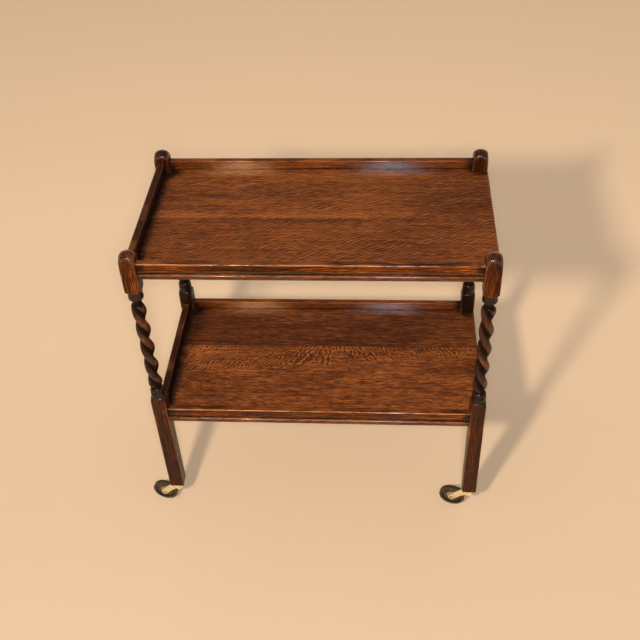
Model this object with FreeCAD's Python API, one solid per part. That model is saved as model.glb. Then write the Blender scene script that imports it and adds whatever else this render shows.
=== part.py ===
import FreeCAD, Part
import math
import os

# Two-tier oak tea trolley with barley-twist posts, on four brass horn casters.
# Millimetres, +X along the trolley towards its open end, +Y to the back, +Z up from the floor.

V = FreeCAD.Vector

# Overall sizes
width = 700.0                # over the posts' outer faces, along X
depth = 376.0                # over the posts' outer faces, along Y
upper_board_z = 698.5        # top of the upper tray's boards above the floor
lower_board_z = 304.5        # top of the lower tray's boards above the floor
post_rise = 42.0             # domed tip of a post above the upper boards

# Posts
post_side = 30.5             # square stock
arris_round = 1.2            # eased corners of the stock
dome_height = 26.0           # tip down to where the corners are full
dome_knee_r = 14.0           # radius where the flat crown turns down into the sides
dome_knee_drop = 5.0
dome_side_sag = 2.4
block_below_board = 49.0     # square block's end below the upper boards
block_pommel = 10.0          # rounded shoulder at the block's corners
leg_above_board = 56.5       # square leg's end above the lower boards
leg_pommel = 16.0
pommel_sag = 2.2
corner_clear = 0.3           # turning radius past the stock's corners
turned_r = 14.6              # cylinder left by the turning
neck_r = 8.6
neck_length = 3.5            # plain waist between the twist and its cup or ring
cup_height = 29.5            # block's end down to the upper waist
cup_straight = 13.0
cup_lip_r = 12.3             # where the cup's round side turns into its hollow foot
cup_lip_rise = 9.0
cup_sag = 1.5
cup_foot_sag = 0.7
ring_height = 25.5           # leg's end up to the lower waist
ring_straight = 12.0
ring_r = 14.0
ring_sag = 2.2
quirk_depth = 1.6            # sharp groove under the ring
quirk_height = 3.0

# Double barley twist
twist_pitch = 99.0           # one full turn of a strand
twist_r = 14.6
strand_r = 8.7
groove_r = 4.0
twist_shoulder = 13.0        # length over which each end rounds into its waist
twist_shoulder_sag = 2.6
twist_lobe_drop = 95.5       # upper boards down to where the strands face along X

# Trays
board_t = 12.5
board_inset = 1.0            # boards' moulded edges inside the posts' outer faces
end_overhang = 1.5           # boards' plain end past the posts at the open end
edge_round = 4.0
edge_round_under = 2.0
rail_t = 14.5
rail_set_back = 6.0          # rail's outer face inside the posts' outer faces
gallery_height = 20.0        # rail's top above the boards
rail_round = 3.5
rail_seat = 2.0              # lowered ledge that the rails stand on
seat_clear = 0.3             # raised field's edge to rails and posts
upper_joint_y = -8.0         # line where the two boards of a tray meet
lower_joint_y = 38.0
tongue_t = 4.0
tongue_w = 16.0
tongue_stop = 45.0           # tongue's ends short of the boards' ends
housing = 4.0                # boards let into the posts

# Joinery
tenon_t = 6.0
tenon_length = 12.0
tenon_shoulder = 4.0         # tenon's edges inside the rail's own height
tenon_fit = 0.1              # clearance round a tenon, tongue or housed board
tenon_end_gap = 0.5
bearer_w = 18.0
bearer_h = 22.0

# Wood screws
screw_r = 2.0
screw_head_r = 4.0
screw_head_h = 2.4
screw_fit = 0.05
rail_screw_bite = 14.0       # length of thread in a rail
bearer_screw_bite = 8.0      # length of thread in a board
rail_screw_end = 70.0        # end screws from the rail's shoulders
bearer_screw_end = 40.0      # a bearer's screws from its shoulders

# Casters
wheel_r = 29.0
wheel_w = 9.0
rim_band = 6.5               # flat rim round the dished face
rim_round = 1.5
dish_depth = 2.2
hub_r = 9.0
hub_proud = 0.5
trail = 36.0                 # wheel's centre behind the swivel axis
axle_r = 3.0
axle_head_r = 4.6
axle_head_h = 1.6
running_fit = 0.08
drive_fit = 0.03
arm_gap = 0.4                # hub to horn arm
arm_t = 4.0
arm_eye_r = 7.0
arm_root_half = 8.0          # half height of an arm where it leaves the crown
arm_sag = 3.0
arm_round = 1.2              # eased edges of an arm's outer face
crown_r = 13.0
crown_t = 6.0
crown_sag = 1.4              # hollow of the curve from the crown into the throat
throat_r = 9.5
throat_h = 12.0
wheel_room = 2.0             # wheel's rim to the horn's throat
wheel_headroom = 3.0         # top of the wheel to the underside of the crown
swivel_gap = 0.3
socket_flange_r = 12.5
socket_flange_t = 1.7
socket_wall = 1.5
socket_length = 44.0
pintle_r = 4.0
pintle_end_gap = 4.0         # pintle's tip short of the socket's end
bore_end_gap = 2.0
caster_turn = {"front_left": 8.0, "front_right": 14.0, "back_left": -6.0, "back_right": -10.0}

# Levels and lines worked out from the sizes above
crown_under_z = 2 * wheel_r + wheel_headroom
crown_top_z = crown_under_z + crown_t
flange_under_z = crown_top_z + swivel_gap
leg_foot_z = flange_under_z + socket_flange_t
post_top_z = upper_board_z + post_rise
block_end_z = upper_board_z - block_below_board
leg_end_z = lower_board_z + leg_above_board
upper_neck_z = block_end_z - cup_height
lower_neck_z = leg_end_z + ring_height
corner_r = post_side / math.sqrt(2) + corner_clear
arm_y = wheel_w / 2 + hub_proud + arm_gap

# The box of the whole trolley is centred on the origin: the wheels trail past the posts at the left
left_turn = math.radians(caster_turn["front_left"])
wheel_reach = (trail + wheel_r) * math.cos(left_turn) + wheel_w / 2 * math.sin(left_turn)
box_left = -width / 2 + post_side / 2 - wheel_reach
box_right = width / 2 + end_overhang
centre_x = -(box_left + box_right) / 2
left_x = centre_x - width / 2
right_x = centre_x + width / 2
front_y = -depth / 2
back_y = depth / 2

sides_x = {"left": (left_x, 1), "right": (right_x, -1)}
sides_y = {"front": (front_y, 1), "back": (back_y, -1)}
trays = {"top_tray": (upper_board_z, upper_joint_y), "lower_tray": (lower_board_z, lower_joint_y)}


def box(x0, x1, y0, y1, z0, z1):
    """Box between two corners, given in either order."""
    low = V(min(x0, x1), min(y0, y1), min(z0, z1))
    return Part.makeBox(abs(x1 - x0), abs(y1 - y0), abs(z1 - z0), low)


def outline(start, *steps):
    """Closed XZ face. A step is (x, z) for a line, or (x, z, sag) for an arc bulging to its left."""
    here = V(start[0], 0, start[1])
    first = here
    edges = []
    for step in steps:
        there = V(step[0], 0, step[1])
        if len(step) == 3:
            chord = there - here
            side = V(-chord.z, 0, chord.x).normalize()
            edges.append(Part.Arc(here, (here + there) * 0.5 + side * step[2], there).toShape())
        else:
            edges.append(Part.LineSegment(here, there).toShape())
        here = there
    if here.distanceToPoint(first) > 1e-6:
        edges.append(Part.LineSegment(here, first).toShape())
    return Part.Face(Part.Wire(edges))


def cap_sag(radius, height):
    """Sag of the arc from a round cap's rim to its tip, level at the tip."""
    sphere_r = (radius ** 2 + height ** 2) / (2 * height)
    return sphere_r * (1 - math.cos(math.asin(radius / sphere_r) / 2))


def quarter_sag(radius):
    """Sag of a quarter circle."""
    return radius * (1 - math.sqrt(0.5))


def turned(start, *steps):
    """Solid of revolution about Z."""
    return outline(start, *steps).revolve(V(0, 0, 0), V(0, 0, 1), 360)


def prism_along_y(face, y0, y1):
    """XZ face moved to y0 and extruded to y1."""
    face.translate(V(0, y0, 0))
    return face.extrude(V(0, y1 - y0, 0))


def prism_along_x(face, x0, x1):
    """XZ face read as YZ, moved to x0 and extruded to x1."""
    face.rotate(V(0, 0, 0), V(0, 0, 1), 90)
    face.translate(V(x0, 0, 0))
    return face.extrude(V(x1 - x0, 0, 0))


def strand_section():
    """Section of the double twist: two round strands joined by two hollow grooves."""
    offset = twist_r - strand_r
    groove_y = math.sqrt((strand_r + groove_r) ** 2 - offset ** 2)
    share = strand_r / (strand_r + groove_r)
    touch = V(offset * (1 - share), groove_y * share, 0)
    waist = V(0, groove_y - groove_r, 0)
    tip = V(twist_r, 0, 0)

    def flipped(point, sx, sy):
        return V(point.x * sx, point.y * sy, 0)

    corners = [flipped(touch, sx, sy) for sx, sy in ((1, -1), (1, 1), (-1, 1), (-1, -1))]
    mids = [tip, waist, flipped(tip, -1, 1), flipped(waist, 1, -1)]
    arcs = []
    for i, mid in enumerate(mids):
        arcs.append(Part.Arc(corners[i], mid, corners[(i + 1) % len(corners)]).toShape())
    return Part.Wire(arcs)


def twist():
    """Left-handed double barley twist between the two necks, rounded into them."""
    bottom = lower_neck_z + neck_length
    top = upper_neck_z - neck_length
    length = top - bottom
    spine = Part.Wire(Part.LineSegment(V(0, 0, 0), V(0, 0, length)).toShape())
    guide = Part.Wire(Part.makeHelix(twist_pitch, length, twist_r, 0, True).Edges)
    section = strand_section()
    lobe_z = upper_board_z - twist_lobe_drop
    section.rotate(V(0, 0, 0), V(0, 0, 1), 360 * (lobe_z - bottom) / twist_pitch)
    sweep = Part.BRepOffsetAPI.MakePipeShell(spine)
    sweep.setAuxiliarySpine(guide, True, 0)
    sweep.add(section)
    sweep.build()
    sweep.makeSolid()
    bar = sweep.shape()
    bar.translate(V(0, 0, bottom))
    past = twist_r + corner_clear
    envelope = turned(
        (0, bottom),
        (neck_r, bottom),
        (past, bottom + twist_shoulder, -twist_shoulder_sag),
        (past, top - twist_shoulder),
        (neck_r, top, -twist_shoulder_sag),
        (0, top),
    )
    return bar.common(envelope)


def squared_stock():
    """Square stock of a post, with its four upright corners eased."""
    half = post_side / 2
    square = box(-half, half, -half, half, leg_foot_z, post_top_z)
    upright = [edge for edge in square.Edges if abs(edge.tangentAt(edge.FirstParameter).z) > 0.5]
    return square.makeFillet(arris_round, upright)


def turned_post():
    """One post about its own axis: squared stock, turned ends and the twist between them."""
    upper = turned(
        (0, upper_neck_z - neck_length),
        (neck_r, upper_neck_z - neck_length),
        (neck_r, upper_neck_z),
        (cup_lip_r, upper_neck_z + cup_lip_rise, cup_foot_sag),
        (turned_r, block_end_z - cup_straight, -cup_sag),
        (turned_r, block_end_z),
        (corner_r, block_end_z + block_pommel, -pommel_sag),
        (corner_r, post_top_z - dome_height),
        (dome_knee_r, post_top_z - dome_knee_drop, -dome_side_sag),
        (0, post_top_z, -cap_sag(dome_knee_r, dome_knee_drop)),
    )
    lower = turned(
        (0, leg_foot_z),
        (corner_r, leg_foot_z),
        (corner_r, leg_end_z - leg_pommel),
        (turned_r, leg_end_z, -pommel_sag),
        (turned_r, leg_end_z + ring_straight),
        (ring_r - quirk_depth, leg_end_z + ring_straight + quirk_height / 2),
        (ring_r, leg_end_z + ring_straight + quirk_height),
        (neck_r, lower_neck_z, -ring_sag),
        (neck_r, lower_neck_z + neck_length),
        (0, lower_neck_z + neck_length),
    )
    stock = squared_stock()
    bore_r = pintle_r + running_fit + socket_wall + drive_fit
    bore = Part.makeCylinder(bore_r, socket_length + bore_end_gap, V(0, 0, leg_foot_z))
    return stock.common(upper).fuse([stock.common(lower).cut(bore), twist()])


def post_axis(x_side, y_side):
    """Place of a post's axis and the way from it into the trolley."""
    x, into_x = sides_x[x_side]
    y, into_y = sides_y[y_side]
    return x + into_x * post_side / 2, y + into_y * post_side / 2


def rail_span_x():
    """X of the shoulders of the front and back rails."""
    return left_x + post_side, right_x - post_side


def rail_span_y():
    """Y of the shoulders of the left rails and the bearers."""
    return front_y + post_side, back_y - post_side


def rail_tenon_z(board_z):
    """Lower and upper edge of a gallery rail's tenons."""
    return board_z - rail_seat + tenon_shoulder, board_z + gallery_height - tenon_shoulder


def bearer_tenon_z(board_z):
    """Lower and upper edge of a bearer's tenons."""
    under = board_z - board_t
    return under - bearer_h + tenon_shoulder, under - tenon_shoulder


def rail_centre(face, into):
    """Middle of a rail's thickness, from the posts' outer face."""
    return face + into * (rail_set_back + rail_t / 2)


def tenons_along_x(y, z_span, grow=0.0, end=0.0):
    """The two tenons of a rail along X, or their mortises when grown."""
    x0, x1 = rail_span_x()
    z0, z1 = z_span
    half = tenon_t / 2 + grow
    reach = tenon_length + end
    return [
        box(x0 - reach, x0, y - half, y + half, z0 - grow, z1 + grow),
        box(x1, x1 + reach, y - half, y + half, z0 - grow, z1 + grow),
    ]


def tenons_along_y(x, z_span, grow=0.0, end=0.0):
    """The two tenons of a rail along Y, or their mortises when grown."""
    y0, y1 = rail_span_y()
    z0, z1 = z_span
    half = tenon_t / 2 + grow
    reach = tenon_length + end
    return [
        box(x - half, x + half, y0 - reach, y0, z0 - grow, z1 + grow),
        box(x - half, x + half, y1, y1 + reach, z0 - grow, z1 + grow),
    ]


def mortises(board_z):
    """Everything that one tray's rails and bearers take out of the posts."""
    cuts = []
    for face, into in sides_y.values():
        cuts += tenons_along_x(rail_centre(face, into), rail_tenon_z(board_z), tenon_fit, tenon_end_gap)
    left_rail_x = rail_centre(*sides_x["left"])
    cuts += tenons_along_y(left_rail_x, rail_tenon_z(board_z), tenon_fit, tenon_end_gap)
    for face, into in sides_x.values():
        bearer_x = face + into * post_side / 2
        cuts += tenons_along_y(bearer_x, bearer_tenon_z(board_z), tenon_fit, tenon_end_gap)
    return cuts


def board_housing(board_z, x_side, y_side):
    """Slot round a post's inner corner that takes the corner of a tray."""
    x, into_x = sides_x[x_side]
    y, into_y = sides_y[y_side]
    z0 = board_z - board_t - tenon_fit
    z1 = board_z - rail_seat + tenon_fit
    edge_x = board_inset - tenon_fit if x_side == "left" else 0.0
    edge_y = board_inset - tenon_fit
    inner_x = x + into_x * post_side
    inner_y = y + into_y * post_side
    slot = box(x + into_x * edge_x, inner_x, y + into_y * edge_y, inner_y, z0, z1)
    core = post_side - housing
    kept = box(x, x + into_x * core, y, y + into_y * core, z0, z1)
    return slot.cut(kept)


def post(blank, x_side, y_side):
    """A post in its corner, with its mortises and housings."""
    x, y = post_axis(x_side, y_side)
    placed = blank.copy()
    placed.translate(V(x, y, 0))
    for board_z, _ in trays.values():
        placed = placed.cut(mortises(board_z) + [board_housing(board_z, x_side, y_side)])
    return placed


def edge_profile(a0, a1, z, stepped0, stepped1):
    """Board's end view from a0 to a1: a stepped end has the ledge for a rail, a plain one a round arris."""
    under = z - board_t
    ledge = z - rail_seat
    ledge_w = rail_set_back - board_inset + rail_t + seat_clear
    sag = quarter_sag(edge_round)
    sag_under = quarter_sag(edge_round_under)
    steps = [(a1 - edge_round_under, under), (a1, under + edge_round_under, -sag_under)]
    if stepped1:
        steps += [(a1, ledge - edge_round), (a1 - edge_round, ledge, -sag)]
        steps += [(a1 - ledge_w, ledge), (a1 - ledge_w, z)]
    else:
        steps += [(a1, z - edge_round), (a1 - edge_round, z, -sag)]
    if stepped0:
        steps += [(a0 + ledge_w, z), (a0 + ledge_w, ledge)]
        steps += [(a0 + edge_round, ledge), (a0, ledge - edge_round, -sag)]
    else:
        steps += [(a0 + edge_round, z), (a0, z - edge_round, -sag)]
    steps += [(a0, under + edge_round_under), (a0 + edge_round_under, under, -sag_under)]
    return outline((a0 + edge_round_under, under), *steps)


def tray_slab(board_z):
    """Both boards of a tray as one slab, notched round the posts, with its moulded edges and rail ledges."""
    x0 = left_x + board_inset
    x1 = right_x + end_overhang
    y0 = front_y + board_inset
    y1 = back_y - board_inset
    long_way = prism_along_y(edge_profile(x0, x1, board_z, True, False), y0, y1)
    cross_way = prism_along_x(edge_profile(y0, y1, board_z, True, True), x0, x1)
    notch = post_side - housing + tenon_fit
    field_notch = post_side + seat_clear
    under = board_z - board_t
    cuts = []
    for x, into_x in sides_x.values():
        for y, into_y in sides_y.values():
            outer_x = x - into_x * end_overhang
            outer_y = y - into_y * board_inset
            for side, bottom in ((notch, under), (field_notch, board_z - rail_seat)):
                cuts.append(box(outer_x, x + into_x * side, outer_y, y + into_y * side, bottom, board_z))
    return long_way.common(cross_way).cut(cuts)


def tongue(board_z, joint_y, grow=0.0):
    """Loose tongue in the joint between a tray's boards, or its groove when grown."""
    middle = board_z - board_t / 2
    half_t = tongue_t / 2 + grow
    half_w = tongue_w / 2 + grow
    x0 = left_x + tongue_stop - grow
    x1 = right_x - tongue_stop + grow
    return box(x0, x1, joint_y - half_w, joint_y + half_w, middle - half_t, middle + half_t)


def screw(x, y, head_z, length, grow=0.0):
    """Countersunk screw pointing up from its head, or its hole when grown."""
    head_r = screw_head_r + grow
    shank_r = screw_r + grow
    head = Part.makeCone(head_r, shank_r, screw_head_h, V(x, y, head_z))
    shank = Part.makeCylinder(shank_r, length - screw_head_h + grow, V(x, y, head_z + screw_head_h))
    return head.fuse(shank)


def rail_screws(board_z, grow=0.0):
    """Screws up through the boards' ledges into the three gallery rails."""
    head_z = board_z - board_t
    length = board_t - rail_seat + rail_screw_bite
    x0, x1 = rail_span_x()
    y0, y1 = rail_span_y()
    places = []
    for face, into in sides_y.values():
        for x in (x0 + rail_screw_end, (x0 + x1) / 2, x1 - rail_screw_end):
            places.append((x, rail_centre(face, into)))
    left_rail_x = rail_centre(*sides_x["left"])
    for y in (y0 + rail_screw_end, y1 - rail_screw_end):
        places.append((left_rail_x, y))
    return [screw(x, y, head_z, length, grow) for x, y in places]


def bearer_screws(board_z, grow=0.0):
    """Screws up through the bearers, one into each board."""
    head_z = board_z - board_t - bearer_h
    length = bearer_h + bearer_screw_bite
    y0, y1 = rail_span_y()
    screws = []
    for face, into in sides_x.values():
        for y in (y0 + bearer_screw_end, y1 - bearer_screw_end):
            screws.append(screw(face + into * post_side / 2, y, head_z, length, grow))
    return screws


def rail_profile(middle, board_z):
    """End view of a gallery rail: square below, rounded along both top edges."""
    half = rail_t / 2
    seat = board_z - rail_seat
    top = board_z + gallery_height
    sag = quarter_sag(rail_round)
    return outline(
        (middle - half, seat),
        (middle + half, seat),
        (middle + half, top - rail_round),
        (middle + half - rail_round, top, -sag),
        (middle - half + rail_round, top),
        (middle - half, top - rail_round, -sag),
    )


def long_rail(board_z, y_side):
    """Front or back gallery rail with its tenons."""
    y = rail_centre(*sides_y[y_side])
    body = prism_along_x(rail_profile(y, board_z), *rail_span_x())
    return body.fuse(tenons_along_x(y, rail_tenon_z(board_z))).cut(rail_screws(board_z, screw_fit))


def left_rail(board_z):
    """Gallery rail across the closed end."""
    x = rail_centre(*sides_x["left"])
    body = prism_along_y(rail_profile(x, board_z), *rail_span_y())
    return body.fuse(tenons_along_y(x, rail_tenon_z(board_z))).cut(rail_screws(board_z, screw_fit))


def bearer(board_z, x_side):
    """Cross bearer under one end of a tray, tenoned between the posts."""
    face, into = sides_x[x_side]
    x = face + into * post_side / 2
    under = board_z - board_t
    y0, y1 = rail_span_y()
    bar = box(x - bearer_w / 2, x + bearer_w / 2, y0, y1, under - bearer_h, under)
    holes = bearer_screws(board_z, screw_fit)
    return bar.fuse(tenons_along_y(x, bearer_tenon_z(board_z))).cut(holes)


def tray_pieces(name, board_z, joint_y):
    """Every piece of one tray, by node name."""
    slab = tray_slab(board_z).cut([tongue(board_z, joint_y, tenon_fit)])
    slab = slab.cut(rail_screws(board_z, screw_fit) + bearer_screws(board_z, screw_fit))
    x1 = right_x + end_overhang
    under = board_z - board_t
    pieces = {
        name + "_front_board": slab.common(box(left_x, x1, front_y, joint_y, under, board_z)),
        name + "_back_board": slab.common(box(left_x, x1, joint_y, back_y, under, board_z)),
        name + "_tongue": tongue(board_z, joint_y),
        name + "_front_rail": long_rail(board_z, "front"),
        name + "_back_rail": long_rail(board_z, "back"),
        name + "_left_rail": left_rail(board_z),
        name + "_rail_screws": Part.makeCompound(rail_screws(board_z)),
        name + "_bearer_screws": Part.makeCompound(bearer_screws(board_z)),
    }
    for x_side in sides_x:
        pieces[name + "_" + x_side + "_bearer"] = bearer(board_z, x_side)
    return pieces


def about_axle(shape):
    """Turns a shape made about Z so that its axis is the axle, through the wheel's centre."""
    shape.rotate(V(0, 0, 0), V(1, 0, 0), 90)
    shape.translate(V(-trail, 0, wheel_r))
    return shape


def wheel():
    """Dished caster wheel with a raised hub and rounded rim."""
    half = wheel_w / 2
    hub = half + hub_proud
    dish = half - dish_depth
    rim_r = wheel_r - rim_band
    sag = quarter_sag(rim_round)
    bore_r = axle_r + running_fit
    return about_axle(turned(
        (bore_r, -hub),
        (hub_r, -hub),
        (hub_r + dish_depth / 2, -dish),
        (rim_r - dish_depth / 2, -dish),
        (rim_r, -half),
        (wheel_r - rim_round, -half),
        (wheel_r, rim_round - half, -sag),
        (wheel_r, half - rim_round),
        (wheel_r - rim_round, half, -sag),
        (rim_r, half),
        (rim_r - dish_depth / 2, dish),
        (hub_r + dish_depth / 2, dish),
        (hub_r, hub),
        (bore_r, hub),
    ))


def horn_arm():
    """One arm of the horn, a tapering curved leaf from the crown down to a round eye on the axle."""
    root = V(0, 0, crown_under_z)
    eye = V(-trail, 0, wheel_r)
    along = (eye - root).normalize()
    across = V(-along.z, 0, along.x)
    lower = eye + across * arm_eye_r
    upper = eye - across * arm_eye_r
    tip = eye + along * arm_eye_r
    low_root = root + across * arm_root_half
    high_root = root - across * arm_root_half
    middle_low = (lower + low_root) * 0.5 - across * arm_sag
    middle_high = (upper + high_root) * 0.5 - across * arm_sag
    edges = [
        Part.Arc(low_root, middle_low, lower).toShape(),
        Part.Arc(lower, tip, upper).toShape(),
        Part.Arc(upper, middle_high, high_root).toShape(),
        Part.Arc(high_root, root - along * arm_root_half, low_root).toShape(),
    ]
    leaf = Part.Face(Part.Wire(edges))
    leaf.translate(V(0, arm_y, 0))
    arm = leaf.extrude(V(0, arm_t, 0))
    eased = []
    for edge in arm.Edges:
        limits = edge.BoundBox
        if limits.YMin > arm_y + arm_t / 2 and limits.XMin < -trail / 2:
            eased.append(edge)
    return arm.makeFillet(arm_round, eased)


def horn():
    """Brass horn: round crown under the leg, hollowed throat and two arms astride the wheel."""
    arm = horn_arm()
    other = arm.mirror(V(0, 0, 0), V(0, 1, 0))
    crown = turned(
        (0, crown_under_z - throat_h),
        (throat_r, crown_under_z - throat_h),
        (throat_r, crown_under_z - crown_t / 2),
        (crown_r, crown_under_z + crown_t / 2, crown_sag),
        (crown_r, crown_top_z),
        (0, crown_top_z),
    )
    room = Part.makeCylinder(wheel_r + wheel_room, 2 * arm_y, V(0, 0, -arm_y))
    pin_hole = Part.makeCylinder(axle_r + drive_fit, 2 * (arm_y + arm_t), V(0, 0, -arm_y - arm_t))
    throat = V(0, 0, crown_under_z - throat_h)
    pintle_hole = Part.makeCylinder(pintle_r + drive_fit, crown_t + throat_h, throat)
    above_crown = box(-crown_r, crown_r, -crown_r, crown_r, crown_top_z, crown_top_z + trail)
    return crown.fuse([arm, other]).cut([about_axle(room), about_axle(pin_hole), pintle_hole, above_crown])


def axle():
    """Axle pin with a domed head outside each arm."""
    shoulder = arm_y + arm_t
    sag = cap_sag(axle_head_r, axle_head_h)
    return about_axle(turned(
        (0, -shoulder - axle_head_h),
        (axle_head_r, -shoulder, -sag),
        (axle_r, -shoulder),
        (axle_r, shoulder),
        (axle_head_r, shoulder),
        (0, shoulder + axle_head_h, -sag),
    ))


def pintle():
    """Pin riveted in the crown that turns in the leg's socket."""
    bottom = crown_under_z - throat_h
    top = leg_foot_z + socket_length - pintle_end_gap
    return turned(
        (0, bottom),
        (pintle_r, bottom),
        (pintle_r, top - pintle_r),
        (0, top, -quarter_sag(pintle_r)),
    )


def socket():
    """Iron sleeve driven up the leg, with a round flange against the leg's end."""
    bore_r = pintle_r + running_fit
    outer_r = bore_r + socket_wall
    return turned(
        (bore_r, flange_under_z),
        (socket_flange_r, flange_under_z),
        (socket_flange_r, leg_foot_z),
        (outer_r, leg_foot_z),
        (outer_r, leg_foot_z + socket_length),
        (bore_r, leg_foot_z + socket_length),
    )


def caster_pieces(x_side, y_side):
    """One caster under its post, turned as it stands, by node name."""
    corner = y_side + "_" + x_side
    x, y = post_axis(x_side, y_side)
    pieces = {
        "caster_socket": socket(),
        "caster_pintle": pintle(),
        "caster_horn": horn(),
        "caster_wheel": wheel(),
        "caster_axle": axle(),
    }
    placed = {}
    for name, shape in pieces.items():
        shape.rotate(V(0, 0, 0), V(0, 0, 1), -caster_turn[corner])
        shape.translate(V(x, y, 0))
        placed[corner + "_" + name] = shape
    return placed


def trolley():
    """Every piece of the trolley, by node name."""
    blank = turned_post()
    pieces = {}
    for y_side in sides_y:
        for x_side in sides_x:
            pieces[y_side + "_" + x_side + "_post"] = post(blank, x_side, y_side)
            pieces.update(caster_pieces(x_side, y_side))
    for name, (board_z, joint_y) in trays.items():
        pieces.update(tray_pieces(name, board_z, joint_y))
    return pieces


os.makedirs("parts", exist_ok=True)
for node, shape in trolley().items():
    shape.exportStep("parts/" + node + ".step")
    print(node, len(shape.Solids), shape.isValid(), round(shape.Volume, 1))
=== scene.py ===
import math

import bmesh
import bpy
from mathutils import Matrix, Vector


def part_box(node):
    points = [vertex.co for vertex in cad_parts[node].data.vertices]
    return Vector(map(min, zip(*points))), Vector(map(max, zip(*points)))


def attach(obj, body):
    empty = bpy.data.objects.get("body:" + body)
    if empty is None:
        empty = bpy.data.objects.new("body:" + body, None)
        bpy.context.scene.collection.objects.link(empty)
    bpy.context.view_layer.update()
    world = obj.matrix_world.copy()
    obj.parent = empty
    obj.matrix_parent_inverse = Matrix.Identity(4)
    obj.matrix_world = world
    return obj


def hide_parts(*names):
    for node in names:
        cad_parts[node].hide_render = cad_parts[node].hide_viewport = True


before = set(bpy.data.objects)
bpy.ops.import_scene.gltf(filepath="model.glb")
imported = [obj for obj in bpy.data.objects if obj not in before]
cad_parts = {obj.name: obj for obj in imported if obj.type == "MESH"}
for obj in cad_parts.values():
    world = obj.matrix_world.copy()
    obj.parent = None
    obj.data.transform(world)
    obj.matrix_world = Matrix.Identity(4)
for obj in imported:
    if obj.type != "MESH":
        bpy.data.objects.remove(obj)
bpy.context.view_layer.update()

# Two-tier oak tea trolley with barley-twist posts on brass casters. Metres, +Y to the back.

TRAYS = ("top", "lower")
CORNERS = ("front_left", "front_right", "back_left", "back_right")

# Turned posts
POST_SIDE = 0.0305
POST_ARRIS = 0.10            # easing of the stock's corners, as a share of its half width
EDGE_EASE = 0.0018           # worn edge where turning meets squared stock
DOME_EASE = 0.0030           # further wear of that edge round the dome
DOME_WEAR = (1.3, 0.7)       # where that starts and is full, in dome heights below the tip
CORNER_R = 0.02187
DOME_HEIGHT = 0.026
DOME_KNEE_R = 0.014
DOME_KNEE_DROP = 0.005
DOME_SIDE_SAG = 0.0024
BLOCK_BELOW_BOARD = 0.049
BLOCK_POMMEL = 0.010
LEG_ABOVE_BOARD = 0.0565
LEG_POMMEL = 0.016
POMMEL_SAG = 0.0022
TURNED_R = 0.0146
NECK_R = 0.0086
NECK_LENGTH = 0.0035
CUP_HEIGHT = 0.0295
CUP_STRAIGHT = 0.013
CUP_LIP_R = 0.0123
CUP_LIP_RISE = 0.009
CUP_SAG = 0.0015
CUP_FOOT_SAG = 0.0007
RING_HEIGHT = 0.0255
RING_STRAIGHT = 0.012
RING_R = 0.014
RING_SAG = 0.0022
QUIRK_DEPTH = 0.0016
QUIRK_HEIGHT = 0.003
POST_SIDES = 144             # facets round a post
ARC_PARTS = 3                # fewest rings on a curve of the profile
CRISP = 0.0002               # from a corner of the profile to the ring that keeps it crisp

# Spacing of the rings up a post
WHOLE_STEP = 1.0             # no ring between the ends
LEG_STEP = 0.06
BLOCK_STEP = 0.03
STRAIGHT_STEP = 0.004
TWIST_STEP = 0.0016
NECK_STEP = 0.001
CUP_STEP = 0.0009
BEAD_STEP = 0.0008
DOME_STEP = 0.0007
POMMEL_STEP = 0.0006

# Double barley twist
TWIST_PITCH = 0.099
TWIST_R = 0.0146
TWIST_SPARE = 0.0003         # blank left over the strands, to be cut away
STRAND_R = 0.0087
TWIST_GROOVE = 0.0051        # softness of the hollow between the strands
TWIST_SHOULDER = 0.013
TWIST_SHOULDER_SAG = 0.0026
TWIST_LOBE_DROP = 0.0955
TWIST_FADE = 0.0015

# Slotted wood screws
SCREW_HEAD_R = 0.004
SCREW_SHANK_R = 0.002
SCREW_HEAD_H = 0.0024
SCREW_SLOT_W = 0.0008
SCREW_SLOT_DEPTH = 0.001
SCREW_SLOT_RUN = 3.0         # length of the slot's cutter, in head radii
SCREW_HEAD_SIDES = 32
SCREW_SHANK_SIDES = 20
SCREW_SEED = 11
RAIL_SCREW_LENGTH = 0.0245
RAIL_SCREW_END = 0.070
BEARER_SCREW_LENGTH = 0.030
BEARER_SCREW_END = 0.040
TENON_LENGTH = 0.012

# Figure of quarter-sawn oak, with sizes along, across and through the grain
FIGURE_INPUTS = ("Dash Length", "Dash Width", "Dash Strength", "Cloud Strength",
                 "Ripple Lean", "Ripple Spacing", "Ripple Strength", "Ripple Jitter")
STAIN_INPUTS = ("Dark", "Mid", "Light")
NOISE_MIDDLE = 0.5
GRAIN_BEND = (0.30, 0.09, 0.09)
GRAIN_SWAY = 0.022
LONG_DASH_LENGTH = 4.0       # in short dashes
LONG_DASH_WIDTH = 3.0
SHORT_DASHES = 1.35          # shares of short and long dashes
LONG_DASHES = 0.65
CLOUD_SIZE = (0.20, 0.06, 0.06)
PORE_SIZE = (0.011, 0.00042, 0.00042)
PORE_RANGE = (0.57, 0.68)
PORE_STAIN = 0.6
RIPPLE_DRIFT = (0.075, 0.040, 0.040)
RIPPLE_WANDER = 2.4          # slow wandering of the ripples, in ripples
RIPPLE_SHAKE = (0.020, 0.012, 0.012)
RIPPLE_RUN = 1.4             # ripples side by side before the figure breaks
RIPPLE_REACH = 0.028         # length of an unbroken ripple across the grain
RIPPLE_GAPS = (0.30, 0.62)
FINE_RIPPLES = 1.83          # fine ripples to each ripple
FINE_SHARE = 0.6
MID_TONE = 0.5
DASH_RELIEF = 0.5
PORE_RELIEF = 0.6
RIPPLE_RELIEF = 0.5
POST_GRAIN = 1.7             # how much finer the figure is across a post

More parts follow.
